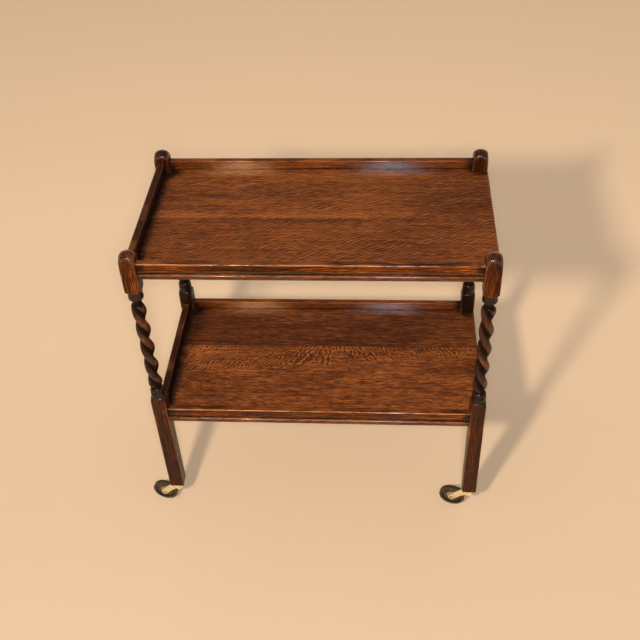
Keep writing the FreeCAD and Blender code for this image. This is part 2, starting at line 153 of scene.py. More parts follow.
# Cuts of the wood: length, width and strength of the dashes, strength of the clouds, then the lean of
# the ripples off the grain in degrees, their spacing, strength and jitter
CUTS = {
    "top_back": (0.020, 0.0015, 1.75, 0.60, 20, 0.0070, 0.26, 0.35),
    "top_front": (0.020, 0.0015, 1.60, 0.50, 29, 0.0066, 0.28, 0.35),
    "lower_back": (0.022, 0.0022, 1.75, 0.60, 12, 0.0090, 0.05, 0.50),
    "lower_front": (0.018, 0.0018, 2.20, 1.10, 52, 0.0074, 0.54, 2.00),
    "streaky": (0.050, 0.0019, 1.60, 0.90, 24, 0.0085, 0.07, 1.40),
    "fine": (0.026, 0.0015, 0.70, 0.40, 24, 0.0070, 0.03, 1.20),
    "mottled": (0.034, 0.0030, 1.35, 0.90, 20, 0.0130, 0.10, 1.60),
    "plain": (0.035, 0.0022, 0.80, 0.30, 20, 0.0090, 0.03, 0.50),
}

# Where each piece comes from in the log
STRETCH = {
    "top_back": 0.4,
    "top_front": 1.7,
    "lower_back": 2.9,
    "lower_front": 4.3,
    "front_rail": 5.1,
    "back_rail": 5.9,
    "end_rail": 6.2,
    "bearer": (7.7, 0.8, 0.0),
    "tongue": (8.8, 0.2, 0.0),
}

# Stain colours of the oak, linear
OAK_BLACK = (0.010, 0.003, 0.001, 1)
OAK_DARK = (0.052, 0.0122, 0.0028, 1)
OAK_RUST = (0.078, 0.0145, 0.0009, 1)
OAK_BROWN = (0.180, 0.0465, 0.0105, 1)
OAK_ORANGE = (0.45, 0.124, 0.024, 1)
OAK_RUSSET = (0.42, 0.098, 0.0090, 1)
OAK_RUBBED_HIGHLIGHT = (0.62, 0.260, 0.095, 1)
OAK_BARE = (0.165, 0.085, 0.042, 1)

# Old wax, grime, painted shade and polish
GRIME_PATCH = 0.012
GRIME_BREAK = 0.7
GRIME_RANGE = (0.25, 0.95)
GRIME_START = (0.02, 0.2)
SMEAR_SIZE = (0.06, 0.045, 0.045)
SMEAR_DULL = 0.22
RUB_SIZE = (0.030, 0.0009, 0.0009)
RUB_DULL = 0.10
PORE_DULL = 0.10
GRIME_DULL = 0.22
OAK_SPECULAR = 0.06          # of the wood under its polish
OAK_BUMP = 0.34
OAK_BUMP_DEPTH = 0.0005

# Dirt and painted shade on the trays, dark against the rails, the ledge and the posts: where it is full,
# where it ends and its strength, from the piece it lies against
LEFT_DIRT_AND_SHADE = (-0.006, 0.036, 1.0)
CORNER_DIRT_AND_SHADE = (0.018, 0.060, 1.0)
FRONT_DIRT_AND_SHADE = (0.0, 0.007, 0.45)
BACK_DIRT_AND_SHADE = (0.0, 0.010, 0.5)
LEDGE_DIRT_AND_SHADE = (0.0, 0.0030, 0.85)
POST_DIRT_AND_SHADE = (0.020, 0.046, 0.72)

# Tone, polish and figure of the boards
CLOSED_END_SHADE = (0.0, 0.055, 0.16)          # painted shade, darker by the left rail
OPEN_END = 0.06                          # where the darker right end starts
SEAM_SHADE = (0.0, 0.030)                # dark stripe in front of the joint
SEAM_LIGHT = (0.004, 0.028)              # pale stripe behind it
SEAM_LIGHT_RUN = (0.0, 0.30)             # where it ends along the board
NOSING = (-0.0050, -0.0032)              # painted shade on the nosing, from the front rail's face
RAW_SKIN = (0.0005, 0.0015)              # from the underside
RAW_AND_NOSING_SHADE = 0.40
PATCH_SIZE = (0.040, 0.020, 0.008)
PATCH_RANGE = (0.42, 0.60)
BACK_GLOSS = (0.008, 0.038)              # polish kept in front of the back rail
RUBBED_GLOSS = 0.4                       # polish left where it is rubbed
FEATHER_REACH = 0.088                    # depth of the feathered band at the left
FEATHER_TAPER = 0.055                    # how much less deep it is at the right
FEATHER_FADE = (0.75, 1.15)
FEATHER_LEAN = 0.95                      # lean of its ripples at the left
FEATHER_TURN = (-0.10, 0.20, 1.8)        # where that changes to the right, and by how much

# Broken pale lines along the rounded edges of rails and boards: wear, with a painted highlight
RAIL_RISE = 0.020            # height of a rail's top above the boards
RAIL_ROUND = 0.0035
BOARD_LEDGE = 0.002          # drop from a board's top to its ledge outside the rail
BOARD_ROUND = 0.004
WORN_HIGHLIGHT_WIDTH = 0.0015
WORN_HIGHLIGHT_CORE = 0.3              # share of that width that is fully pale
WORN_HIGHLIGHT_SIZE = (0.035, 0.012, 0.006)
WORN_HIGHLIGHT_RANGE = (0.36, 0.60)
BOARD_WORN_HIGHLIGHT = 0.28
RAIL_WORN_HIGHLIGHT = 0.75

# Gallery rails, heights from the boards
RAIL_FOOT = 0.0042           # reach of the dirt and painted shade along the foot
RAIL_FOOT_SPREAD = (-0.15, 0.10, 0.0058)  # further reach of that painted shade to the right
RAIL_FOOT_DIRT_AND_SHADE = 0.78
RAIL_END_DIRT_AND_SHADE = (0.0, 0.036, 0.86)
RAIL_TOP = (0.0160, 0.0192)
RAIL_STREAK = (0.09, 0.09, 0.004)
RAIL_STREAK_RANGE = (0.44, 0.64)
RAIL_STREAK_WEAR = 0.40
RAIL_FACE_LOW = (0.002, 0.006)
RAIL_FACE_HIGH = (0.0155, 0.0172)
RAIL_RUBBED = 0.95
LOWER_RAIL_KEPT = (0.45, 0.55, 0.22)     # more gloss left on the lower tray's rail

# Marks on the posts: spans from the levels, radii from the axis, and strengths
LEG_BLEND = (-0.004, 0.002)
LEG_TOP = (-0.004, 0.0)
BLOCK_BLEND = (-0.002, 0.003)
BLOCK_FOOT = (0.0, 0.004)
DOME_BLEND = (-0.027, -0.023)
FACE_SKIN = (-0.00013, -0.00003)         # from the squared faces
BACK_ROW = (0.0, 0.1)                    # painted shade on the back posts, from the front posts to the back ones
BACK_FACE = (0.004, 0.013)               # where that painted shade stops, from a back post's axis to its outer face
TWIST_RUNOUT = 0.012                     # at each end of the twist
GROOVE_R = (0.0090, 0.0144)
CREST_R = (0.0132, 0.0147)
ARRIS_R = (0.0198, 0.0210)
POST_WEAR = (0.02, 0.02, 0.05)
POST_WEAR_RANGE = (0.40, 0.66)
CREST_WEAR = 0.27
ARRIS_WEAR = 0.40
TURNED_DIRT_AND_SHADE = 0.85
POST_SHADE = {"all": 0.09, "leg": 0.20, "back": 0.24, "turned": 0.16, "dome": 0.02}
POST_RUBBED = {"block": 0.90, "leg": 0.78, "turned": 0.55, "groove": 0.96}

# Hidden pieces
HIDDEN_DIRT_SIZE = (0.05, 0.05, 0.05)
HIDDEN_DIRT = 0.5

# Metals, linear
BRASS = (0.88, 0.72, 0.43, 1)
BRASS_DULL = (0.62, 0.45, 0.21, 1)
IRON = (0.16, 0.145, 0.13, 1)
IRON_RUST = (0.07, 0.045, 0.032, 1)
STEEL = (0.50, 0.47, 0.43, 1)
STEEL_DULL = (0.22, 0.17, 0.13, 1)
TARNISH_RANGE = (0.42, 0.72)
TARNISH_FILM = 0.5           # how much thicker the film is on the tarnish
METAL_RUB = (0.0006, 0.004, 0.0006)
METAL_RUB_DULL = 0.16
METAL_BUMP = 0.06
METAL_BUMP_DEPTH = 0.0002

# Moulded wheels: linear colours, and rings as radii from the axle
WHEEL_BLACK = (0.010, 0.0062, 0.0038, 1)
WHEEL_RIM = (0.080, 0.053, 0.028, 1)
WHEEL_BROWN = (0.105, 0.058, 0.026, 1)
WHEEL_DUST = (0.17, 0.125, 0.080, 1)
WHEEL_HUB = (0.42, 0.265, 0.105, 1)
HUB_RING = (0.0110, 0.0135, 0.8)
DISH_RING = (0.0185, 0.0215)
RIM_INSIDE = (0.0225, 0.0240)
RIM_OUTSIDE = (0.0270, 0.0295)
TREAD_RING = (0.024, 0.031)
WHEEL_MARBLE = (0.012, 0.012, 0.012)
MARBLE_WAVER = 0.004
DISH_MARBLE = (0.30, 0.62)
RIM_MARBLE = (0.25, 0.60)
DUST_PATCH = 0.006
DUST_SHARE = 0.24
SCUFF_SIZE = (0.004, 0.0015, 0.004)
SCUFF_DULL = 0.30
WHEEL_ROUGHNESS = 0.20
WHEEL_SPECULAR = 0.14
WHEEL_BUMP = 0.08
WHEEL_BUMP_DEPTH = 0.0003

# Floor and room
FLOOR_REACH = 14.0
FLOOR_COLOUR = (0.70, 0.490, 0.320, 1)
FLOOR_PALE = (0.86, 0.592, 0.376, 1)
FLOOR_PAINTED_LIGHT = (-0.6, 1.4)    # where the floor is painted paler to the back, as painted light
FLOOR_CLOUD = (0.5, 0.5, 0.5)
FLOOR_CLOUDS = 0.25
FLOOR_ROUGHNESS = 0.85
FLOOR_SPECULAR = 0.2
FLOOR_FADE = (3.0, 7.0)      # where the floor passes into the backdrop
BACKDROP = (0.80, 0.62, 0.45, 1)
BACKDROP_FADE = (0.25, 0.45)             # up the room, where the mirrored backdrop ends
ROOM_LIGHT = (0.11, 0.105, 0.10, 1)      # as the polish and the metal mirror it
ROOM_FILL = (0.42, 0.41, 0.40, 1)        # as it lights the pieces

# Lamps
CAMERA_LAMP = (0.19, -1.60, 1.84)
SIDE_LAMP = (-0.47, -1.60, 1.84)
LAMP_R = 0.09
GLINT_R = 0.08
WARM = (1.0, 0.92, 0.76)
COOL = (0.93, 0.99, 1.06)
WARM_GLINT = (1.0, 0.52, 0.24)
COOL_GLINT = (0.80, 0.92, 1.06)
WARM_STRENGTH = 1.80
COOL_STRENGTH = 1.30
WARM_GLINT_POWER = 105.0
COOL_GLINT_POWER = 56.0

# Camera at the photograph's place
IMAGE = 640
CAMERA_PLACE = (0.16186, -1.47297, 1.75609)
CAMERA_YAW = -5.37
CAMERA_PITCH = -42.14
CAMERA_ROLL = -3.01
CAMERA_FOCAL = 913.67        # pixels
CAMERA_SHIFT = 1.0           # pixels
SENSOR = 36.0

# Sockets without a name of their own
MIX_INPUTS = (0, 6, 7)       # factor, first and second colour
MIX_RESULT = 2
RANDOM_MAX = 3
RANDOM_RESULT = 1


class Graph:
    """Short way to add nodes to a tree and join them up."""

    def __init__(self, tree):
        self.tree = tree

    def put(self, socket, value):
        if isinstance(value, bpy.types.NodeSocket):
            self.tree.links.new(value, socket)
        else:
            socket.default_value = value

    def node(self, kind, inputs=None, **settings):
        made = self.tree.nodes.new(kind)
        for name, value in settings.items():
            setattr(made, name, value)
        for key, value in (inputs or {}).items():
            self.put(made.inputs[key], value)
        return made

    def group(self, tree, inputs):
        return self.node("ShaderNodeGroup", inputs, node_tree=tree).outputs

    def math(self, operation, *values):
        made = self.node("ShaderNodeMath", operation=operation)
        for socket, value in zip(made.inputs, values):
            self.put(socket, value)
        return made.outputs[0]

    def chain(self, operation, total, *others):
        """The operation on the first value and each of the others in turn."""
        for other in others:
            total = self.math(operation, total, other)
        return total

    def add(self, *values):
        return self.chain("ADD", *values)

    def times(self, *values):
        return self.chain("MULTIPLY", *values)

    def most(self, *values):
        return self.chain("MAXIMUM", *values)

    def less(self, value, taken):
        """The first value with the second taken from it."""
        return self.math("SUBTRACT", value, taken)

    def size(self, value):
        """The value without its sign."""
        return self.math("ABSOLUTE", value)

    def wave(self, turns):
        """Sine of a number of turns."""
        return self.math("SINE", self.times(turns, 2 * math.pi))

    def vector(self, operation, *values):
        made = self.node("ShaderNodeVectorMath", operation=operation)
        for socket, value in zip(made.inputs, values):
            self.put(socket, value)
        return made.outputs["Value" if operation == "LENGTH" else "Vector"]

    def split(self, vector):
        return self.node("ShaderNodeSeparateXYZ", {"Vector": vector}).outputs

    def join(self, x, y, z):
        return self.node("ShaderNodeCombineXYZ", {"X": x, "Y": y, "Z": z}).outputs[0]

    def across(self, x, y):
        """Length of a flat vector."""
        return self.vector("LENGTH", self.join(x, y, 0.0))

    def ease(self, value, low, high):
        """0 below low, 1 above high, smooth between."""
        made = self.node("ShaderNodeMapRange", interpolation_type="SMOOTHSTEP")
        for key, number in (("Value", value), ("From Min", low), ("From Max", high)):
            self.put(made.inputs[key], number)
        return made.outputs["Result"]

    def fall(self, value, low, high):
        """1 below low, 0 above high, smooth between."""
        return self.less(1.0, self.ease(value, low, high))

    def grow(self, value, low, high, share):
        """0 below low, this share above high, smooth between."""
        return self.times(self.ease(value, low, high), share)

    def fade(self, value, low, high, share):
        """This share below low, 0 above high, smooth between."""
        return self.times(self.fall(value, low, high), share)

    def mix(self, factor, first, second):
        """First colour where the factor is 0, second where it is 1."""
        made = self.node("ShaderNodeMix", data_type="RGBA")
        for index, value in zip(MIX_INPUTS, (factor, first, second)):
            self.put(made.inputs[index], value)
        return made.outputs[MIX_RESULT]

    def noise(self, vector, sizes, detail=2.0, rough=0.5, distort=0.0):
        """Noise whose features have these sizes in metres along the vector's axes."""
        made = self.node("ShaderNodeTexNoise", {
            "Vector": self.vector("DIVIDE", vector, sizes),
            "Scale": 1.0,
            "Detail": detail,
            "Roughness": rough,
            "Distortion": distort,
        })
        return made.outputs["Fac"]

    def swing(self, vector, sizes, detail=2.0, rough=0.5):
        """The same noise about zero."""
        return self.less(self.noise(vector, sizes, detail, rough), NOISE_MIDDLE)


def floats(*labels):
    """Number sockets with these labels."""
    return [(label, "Float") for label in labels]


def new_tree(name, kind, inputs, outputs):
    """Empty node group with named sockets, its graph, its inputs and its output node."""
    tree = bpy.data.node_groups.new(name, kind)
    for label, socket in inputs:
        tree.interface.new_socket(label, in_out="INPUT", socket_type="NodeSocket" + socket)
    for label, socket in outputs:
        tree.interface.new_socket(label, in_out="OUTPUT", socket_type="NodeSocket" + socket)
    graph = Graph(tree)
    return tree, graph, graph.node("NodeGroupInput").outputs, graph.node("NodeGroupOutput").inputs


def oak_figure_group():
    """Figure of quarter-sawn oak with its grain along X: broken dashes, cloudy tone, open pores and
    wavy ripples of ray fleck that lean across the grain."""
    tree, g, given, out = new_tree(
        "oak_figure",
        "ShaderNodeTree",
        [("Vector", "Vector"), *floats(*FIGURE_INPUTS)],
        floats("Tone", "Pore", "Height"),
    )
    vector = given["Vector"]
    sway = g.times(g.swing(vector, GRAIN_BEND, detail=1.0), GRAIN_SWAY)
    log = g.vector("ADD", vector, g.join(0.0, sway, sway))
    length, width = given["Dash Length"], given["Dash Width"]
    short = g.noise(log, g.join(length, width, width), detail=3.0, rough=0.7)
    long_width = g.times(width, LONG_DASH_WIDTH)
    long_size = g.join(g.times(length, LONG_DASH_LENGTH), long_width, long_width)
    long = g.noise(log, long_size, detail=3.0, rough=0.6)
    both = g.add(g.times(short, SHORT_DASHES), g.times(long, LONG_DASHES))
    dashes = g.times(g.less(both, 1.0), given["Dash Strength"])
    cloud = g.times(g.swing(log, CLOUD_SIZE), given["Cloud Strength"])
    pore = g.ease(g.noise(log, PORE_SIZE, detail=1.0), *PORE_RANGE)
    along, across, deep = g.split(log)
    skewed = g.less(along, g.times(across, given["Ripple Lean"]))
    count = g.math("DIVIDE", skewed, given["Ripple Spacing"])
    wander = g.times(g.noise(vector, RIPPLE_DRIFT), RIPPLE_WANDER)
    jitter = g.times(g.noise(vector, RIPPLE_SHAKE, detail=1.0), given["Ripple Jitter"])
    phase = g.add(count, wander, jitter)
    fine = g.add(g.times(phase, FINE_RIPPLES), jitter)
    wave = g.add(g.wave(phase), g.times(g.wave(fine), FINE_SHARE))
    run = g.math("DIVIDE", count, RIPPLE_RUN)
    reach = g.math("DIVIDE", across, RIPPLE_REACH)
    broken = g.ease(g.noise(g.join(run, reach, deep), (1.0, 1.0, 1.0)), *RIPPLE_GAPS)
    ripple = g.times(wave, broken, given["Ripple Strength"])
    relief = g.less(g.times(short, DASH_RELIEF), g.times(pore, PORE_RELIEF))
    g.put(out["Tone"], g.add(dashes, cloud, ripple, MID_TONE))
    g.put(out["Pore"], pore)
    g.put(out["Height"], g.add(relief, g.times(ripple, RIPPLE_RELIEF)))
    return tree


def oak_stain_group():
    """Stained colour from the figure: three browns by tone, and dark pores."""
    tree, g, given, out = new_tree(
        "oak_stain",
        "ShaderNodeTree",
        floats("Tone", "Pore") + [(brown, "Color") for brown in STAIN_INPUTS],
        [("Color", "Color")],
    )
    low = g.node("ShaderNodeMapRange", {"Value": given["Tone"], "From Max": MID_TONE}).outputs["Result"]
    high = g.node("ShaderNodeMapRange", {"Value": given["Tone"], "From Min": MID_TONE}).outputs["Result"]
    browns = g.mix(high, g.mix(low, given["Dark"], given["Mid"]), given["Light"])
    g.put(out["Color"], g.mix(g.times(given["Pore"], PORE_STAIN), browns, given["Dark"]))
    return tree


def grime_and_shade_group():
    """Old wax, dirt and painted shade: a broken mask that follows how near a corner or hollow is."""
    tree, g, given, out = new_tree(
        "wax_grime",
        "ShaderNodeTree",
        [("Vector", "Vector"), *floats("Nearness", "Patch")],
        floats("Mask"),
    )
    patch = given["Patch"]
    cloud = g.swing(given["Vector"], g.join(patch, patch, patch), detail=4.0, rough=0.65)
    broken = g.add(given["Nearness"], g.times(cloud, GRIME_BREAK))
    present = g.ease(given["Nearness"], *GRIME_START)
    g.put(out["Mask"], g.times(g.ease(broken, *GRIME_RANGE), present))
    return tree


def polish_group():
    """Roughness of an old rubbed polish: duller on open pores and under the mask of dirt and painted shade,
    smeared and lightly scratched.
    """
    tree, g, given, out = new_tree(
        "rubbed_polish",
        "ShaderNodeTree",
        [("Vector", "Vector"), *floats("Roughness", "Pore", "Grime And Shade")],
        floats("Roughness"),
    )
    smear = g.times(g.swing(given["Vector"], SMEAR_SIZE, detail=3.0, rough=0.6), SMEAR_DULL)
    rub = g.times(g.swing(given["Vector"], RUB_SIZE), RUB_DULL)
    pore = g.times(given["Pore"], PORE_DULL)
    grime = g.times(given["Grime And Shade"], GRIME_DULL)
    g.put(out["Roughness"], g.add(given["Roughness"], smear, rub, pore, grime))
    return tree


def tarnish_group():
    """Cloudy tarnish and fine rubbing on metal."""
    tree, g, given, out = new_tree(
        "metal_tarnish",
        "ShaderNodeTree",
        [("Vector", "Vector"), *floats("Patch")],
        floats("Tarnish", "Rub"),
    )
    patch = given["Patch"]
    cloud = g.noise(given["Vector"], g.join(patch, patch, patch), detail=4.0, rough=0.62)
    g.put(out["Tarnish"], g.ease(cloud, *TARNISH_RANGE))
    g.put(out["Rub"], g.noise(given["Vector"], METAL_RUB))
    return tree


OAK_FIGURE = oak_figure_group()
OAK_STAIN = oak_stain_group()
WAX_GRIME_AND_SHADE = grime_and_shade_group()
RUBBED_POLISH = polish_group()
METAL_TARNISH = tarnish_group()


def new_material(name):
    """Empty material with a Principled surface, its graph and the object's own coordinates."""
    material = bpy.data.materials.new(name)
    material.use_nodes = True
    material.node_tree.nodes.clear()
    g = Graph(material.node_tree)
    surface = g.node("ShaderNodeBsdfPrincipled")
    output = g.node("ShaderNodeOutputMaterial")
    material.node_tree.links.new(surface.outputs[0], output.inputs["Surface"])
    place = g.node("ShaderNodeTexCoord").outputs["Object"]
    return material, g, surface, place


def bump(g, surface, height, strength, distance):
    made = g.node("ShaderNodeBump", {"Strength": strength, "Distance": distance, "Height": height})
    g.put(surface.inputs["Normal"], made.outputs[0])


def polished_oak(name, grain, pattern, browns, marks, roughness=0.40, coat=1.0, coat_roughness=0.12,
                 coat_ior=1.5):
    """Oak with stain, polish, grime, painted shade and painted highlights. grain turns the object's place so
    that the grain runs along X; marks gives, from the place, the light and dark masks of this piece and any
    change to its figure."""
    material, g, surface, place = new_material(name)
    along = grain(g, place)
    marked = marks(g, place)
    inputs = dict(pattern, Vector=along)
    if "ripple" in marked:
        inputs["Ripple Strength"] = g.times(marked["ripple"], pattern["Ripple Strength"])
    if "lean" in marked:
        inputs["Ripple Lean"] = marked["lean"]
    oak = g.group(OAK_FIGURE, inputs)
    tone = oak["Tone"]
    if "light" in marked:
        tone = g.add(tone, marked["light"])
    if "shade" in marked:
        tone = g.less(tone, marked["shade"])
    stain = dict(zip(STAIN_INPUTS, browns), Tone=tone, Pore=oak["Pore"])
    colour = g.group(OAK_STAIN, stain)["Color"]
    # This mask darkens towards black: dirt, and painted shade in corners and hollows.
    dirt_and_shade = {"Vector": place, "Nearness": marked["grime"], "Patch": GRIME_PATCH}
    grime = g.group(WAX_GRIME_AND_SHADE, dirt_and_shade)["Mask"]
    colour = g.mix(grime, colour, OAK_BLACK)
    if "wear" in marked:
        colour = g.mix(marked["wear"], colour, OAK_ORANGE)
    # Pale line on rounded edges: wear, with a painted highlight.
    if "edge" in marked:
        colour = g.mix(marked["edge"], colour, OAK_RUBBED_HIGHLIGHT)
    polish = {"Vector": along, "Roughness": roughness, "Pore": oak["Pore"], "Grime And Shade": grime}
    g.put(surface.inputs["Base Color"], colour)
    g.put(surface.inputs["Roughness"], g.group(RUBBED_POLISH, polish)["Roughness"])
    surface.inputs["Specular IOR Level"].default_value = OAK_SPECULAR
    if "polish" in marked:
        g.put(surface.inputs["Coat Weight"], g.times(marked["polish"], coat))
    else:
        surface.inputs["Coat Weight"].default_value = coat
    surface.inputs["Coat Roughness"].default_value = coat_roughness
    surface.inputs["Coat IOR"].default_value = coat_ior
    bump(g, surface, oak["Height"], OAK_BUMP, OAK_BUMP_DEPTH)
    return material


def along_x(shift):
    """Grain along the trolley, at its own place in the log."""
    return lambda g, place: g.vector("ADD", place, shift)


def along_rail(end, stretch):
    """Grain along a gallery rail, its figure standing on the rail's upright faces."""
    def turned(g, place):
        x, y, z = g.split(place)
        run, through = (y, x) if end else (x, y)
        return g.join(g.add(run, stretch), z, through)
    return turned


def along_y(shift):
    """Grain across the trolley."""
    def turned(g, place):
        x, y, z = g.split(g.vector("ADD", place, shift))
        return g.join(y, x, z)
    return turned


def along_z(g, place):
    """Grain up a post, a different stretch of the log for each post."""
    x, y, z = g.split(place)
    return g.join(z, g.times(x, POST_GRAIN), g.times(y, POST_GRAIN))


def tray_box(tray):
    """Places of one tray's surfaces."""
    board_low, board_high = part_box(tray + "_tray_front_board")
    rail_low, rail_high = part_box(tray + "_tray_front_rail")
    return {
        "top": board_high.z,
        "under": board_low.z,
        "nose": abs(board_low.y),
        "joint": board_high.y,
        "front": rail_high.y,
        "front_face": rail_low.y,
        "back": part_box(tray + "_tray_back_rail")[0].y,
        "left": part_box(tray + "_tray_left_rail")[1].x,
        "right": board_high.x,
    }


def about(level, span):
    """The two ends of a span that is given from a level."""
    return level + span[0], level + span[1]


def post_axis(corner):
    low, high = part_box(corner + "_post")
    return (low + high) / 2


def post_offsets(g, x, y):
    """How far a place is from the nearest post's axis, along the trolley and across it."""
    left, right = post_axis("front_left"), post_axis("back_right")
    from_middle = g.size(g.less(x, (left.x + right.x) / 2))
    off_x = g.less(from_middle, (right.x - left.x) / 2)
    return off_x, g.less(g.size(y), right.y)


def tray_grime_and_shade(g, place, tray):
    """Dirt and painted shade against the gallery rails, their ledge and the posts, most of all at the closed
    end.
    """
    limits = tray_box(tray)
    x, y, z = g.split(place)
    from_left = g.less(x, limits["left"])
    from_back = g.less(limits["back"], y)
    return g.most(
        g.fade(from_left, *LEFT_DIRT_AND_SHADE),
        g.fade(g.across(from_left, from_back), *CORNER_DIRT_AND_SHADE),
        g.fade(g.size(g.less(y, limits["front"])), *FRONT_DIRT_AND_SHADE),
        g.fade(g.size(g.less(y, limits["front_face"])), *LEDGE_DIRT_AND_SHADE),
        g.fade(g.size(from_back), *BACK_DIRT_AND_SHADE),
        g.fade(g.across(*post_offsets(g, x, y)), *POST_DIRT_AND_SHADE),
    )


def worn_highlight_edge(g, place, height, edge_y, edge_top, rounding):
    """Broken pale line along the middle of a long rounded edge, at both faces of the trolley: wear, with a
    painted highlight where the rounding would catch the lamps.
    """
    x, y, z = g.split(place)
    inset = rounding * (1 - math.sqrt(0.5))
    off_y = g.less(g.size(y), edge_y - inset)
    off_z = g.less(height, edge_top - inset)
    line = g.fall(g.across(off_y, off_z), WORN_HIGHLIGHT_CORE * WORN_HIGHLIGHT_WIDTH, WORN_HIGHLIGHT_WIDTH)
    broken = g.ease(g.noise(place, WORN_HIGHLIGHT_SIZE, detail=3.0, rough=0.6), *WORN_HIGHLIGHT_RANGE)
    return g.times(line, broken)


def board_marks(tray, shade=0.0, seam_light=0.0, seam_shade=0.0, right_shade=0.0, feathered=False):
    """Masks of a tray's board: dirt and painted shade by the rails and posts, painted shade at the closed
    end and on the nosing, a darker open end, a stripe along the joint, a patchy polish, a darker raw
    underside and a worn line with a painted highlight along the nose. A feathered board has its ripples in a
    band along the joint."""
    limits = tray_box(tray)

    def marks(g, place):
        x, y, z = g.split(place)
        ahead = g.less(limits["joint"], y)
        closed_end = g.fade(g.less(x, limits["left"]), *CLOSED_END_SHADE)
        open_end = g.grow(x, OPEN_END, limits["right"], right_shade)
        stripe = g.fade(ahead, *SEAM_SHADE, seam_shade)
        nosing = g.fall(y, *about(limits["front_face"], NOSING))
        raw = g.fall(z, *about(limits["under"], RAW_SKIN))
        # Painted shade on the nosing, and a darker raw underside.
        dull = g.times(g.most(nosing, raw), RAW_AND_NOSING_SHADE)
        patchy = g.ease(g.noise(place, PATCH_SIZE, detail=3.0, rough=0.6), *PATCH_RANGE)
        outside = g.times(g.fall(y, limits["front_face"], limits["front"]), patchy)
        kept = g.most(g.fall(g.less(limits["back"], y), *BACK_GLOSS), outside)
        gloss = g.add(g.times(kept, 1.0 - RUBBED_GLOSS), RUBBED_GLOSS)
        # Worn line with a painted highlight along the board's nose.
        worn = worn_highlight_edge(g, place, z, limits["nose"], limits["top"] - BOARD_LEDGE, BOARD_ROUND)
        result = {
            "grime": tray_grime_and_shade(g, place, tray),
            "shade": g.add(closed_end, open_end, stripe, dull, shade),
            "edge": g.times(worn, BOARD_WORN_HIGHLIGHT),
            "polish": g.times(gloss, g.less(1.0, raw)),
            "ripple": g.ease(y, limits["front_face"], limits["front"]),
        }
        if seam_light:
            behind = g.fall(g.less(y, limits["joint"]), *SEAM_LIGHT)
            result["light"] = g.times(behind, g.fall(x, *SEAM_LIGHT_RUN), seam_light)
        if feathered:
            slide = g.grow(x, limits["left"], limits["right"], FEATHER_TAPER)
            share = g.math("DIVIDE", ahead, g.less(FEATHER_REACH, slide))
            result["ripple"] = g.times(result["ripple"], g.fall(share, *FEATHER_FADE))
            result["lean"] = g.less(FEATHER_LEAN, g.grow(x, *FEATHER_TURN))
        return result

    return marks


def above_board(g, z):
    """Height above the boards of whichever tray is at z."""
    upper, lower = (tray_box(tray)["top"] for tray in TRAYS)
    is_upper = g.math("GREATER_THAN", z, (upper + lower) / 2)
    return g.less(z, g.add(lower, g.times(is_upper, upper - lower)))


def rail_marks(shade=0.0, rubbed=False, end=False):
    """Masks of a gallery rail: dirt and painted shade along its foot and by the posts, worn streaks on its
    top, and a worn line with a painted highlight along its top edge. A rubbed rail has lost the gloss of its
    face, but not in the corner under it or on its top edges."""
    first, last = post_axis("front_left"), post_axis("back_right")
    middle, reach = (first + last) / 2, (last - first) / 2
    face_y = abs(tray_box("top")["front_face"])

    def marks(g, place):
        x, y, z = g.split(place)
        height = above_board(g, z)
        if end:
            from_post = g.less(reach.y - POST_SIDE / 2, g.size(y))
            foot_reach = RAIL_FOOT
        else:
            from_post = g.less(reach.x - POST_SIDE / 2, g.size(g.less(x, middle.x)))
            foot_reach = g.add(g.grow(x, *RAIL_FOOT_SPREAD), RAIL_FOOT)
        # Dirt and painted shade along the foot and by the posts.
        foot = g.fade(height, 0.0, foot_reach, RAIL_FOOT_DIRT_AND_SHADE)
        streaks = g.ease(g.noise(place, RAIL_STREAK, detail=3.0), *RAIL_STREAK_RANGE)
        top = g.ease(height, *RAIL_TOP)
        # Worn line with a painted highlight along the rail's top edge.
        worn = worn_highlight_edge(g, place, height, face_y, RAIL_RISE, RAIL_ROUND)
        result = {
            "grime": g.most(foot, g.fade(from_post, *RAIL_END_DIRT_AND_SHADE)),
            "wear": g.times(top, streaks, RAIL_STREAK_WEAR),
            "edge": g.times(worn, RAIL_WORN_HIGHLIGHT),
            "shade": shade,
            "ripple": g.less(1.0, top),
        }
        if rubbed:
            face = g.times(g.ease(height, *RAIL_FACE_LOW), g.fall(height, *RAIL_FACE_HIGH))
            lost = g.less(RAIL_RUBBED, g.fade(z, *LOWER_RAIL_KEPT))
            result["polish"] = g.less(1.0, g.times(face, lost))
        return result

    return marks


def post_levels():
    """Heights of a post's features, from the boards that it carries."""
    low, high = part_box("front_left_post")
    upper, lower = (tray_box(tray)["top"] for tray in TRAYS)
    block_end = upper - BLOCK_BELOW_BOARD
    leg_end = lower + LEG_ABOVE_BOARD
    return {
        "foot": low.z,
        "tip": high.z,
        "block_end": block_end,
        "leg_end": leg_end,
        "upper_neck": block_end - CUP_HEIGHT,
        "lower_neck": leg_end + RING_HEIGHT,
        "twist_bottom": leg_end + RING_HEIGHT + NECK_LENGTH,
        "twist_top": block_end - CUP_HEIGHT - NECK_LENGTH,
        "lobe": upper - TWIST_LOBE_DROP,
    }


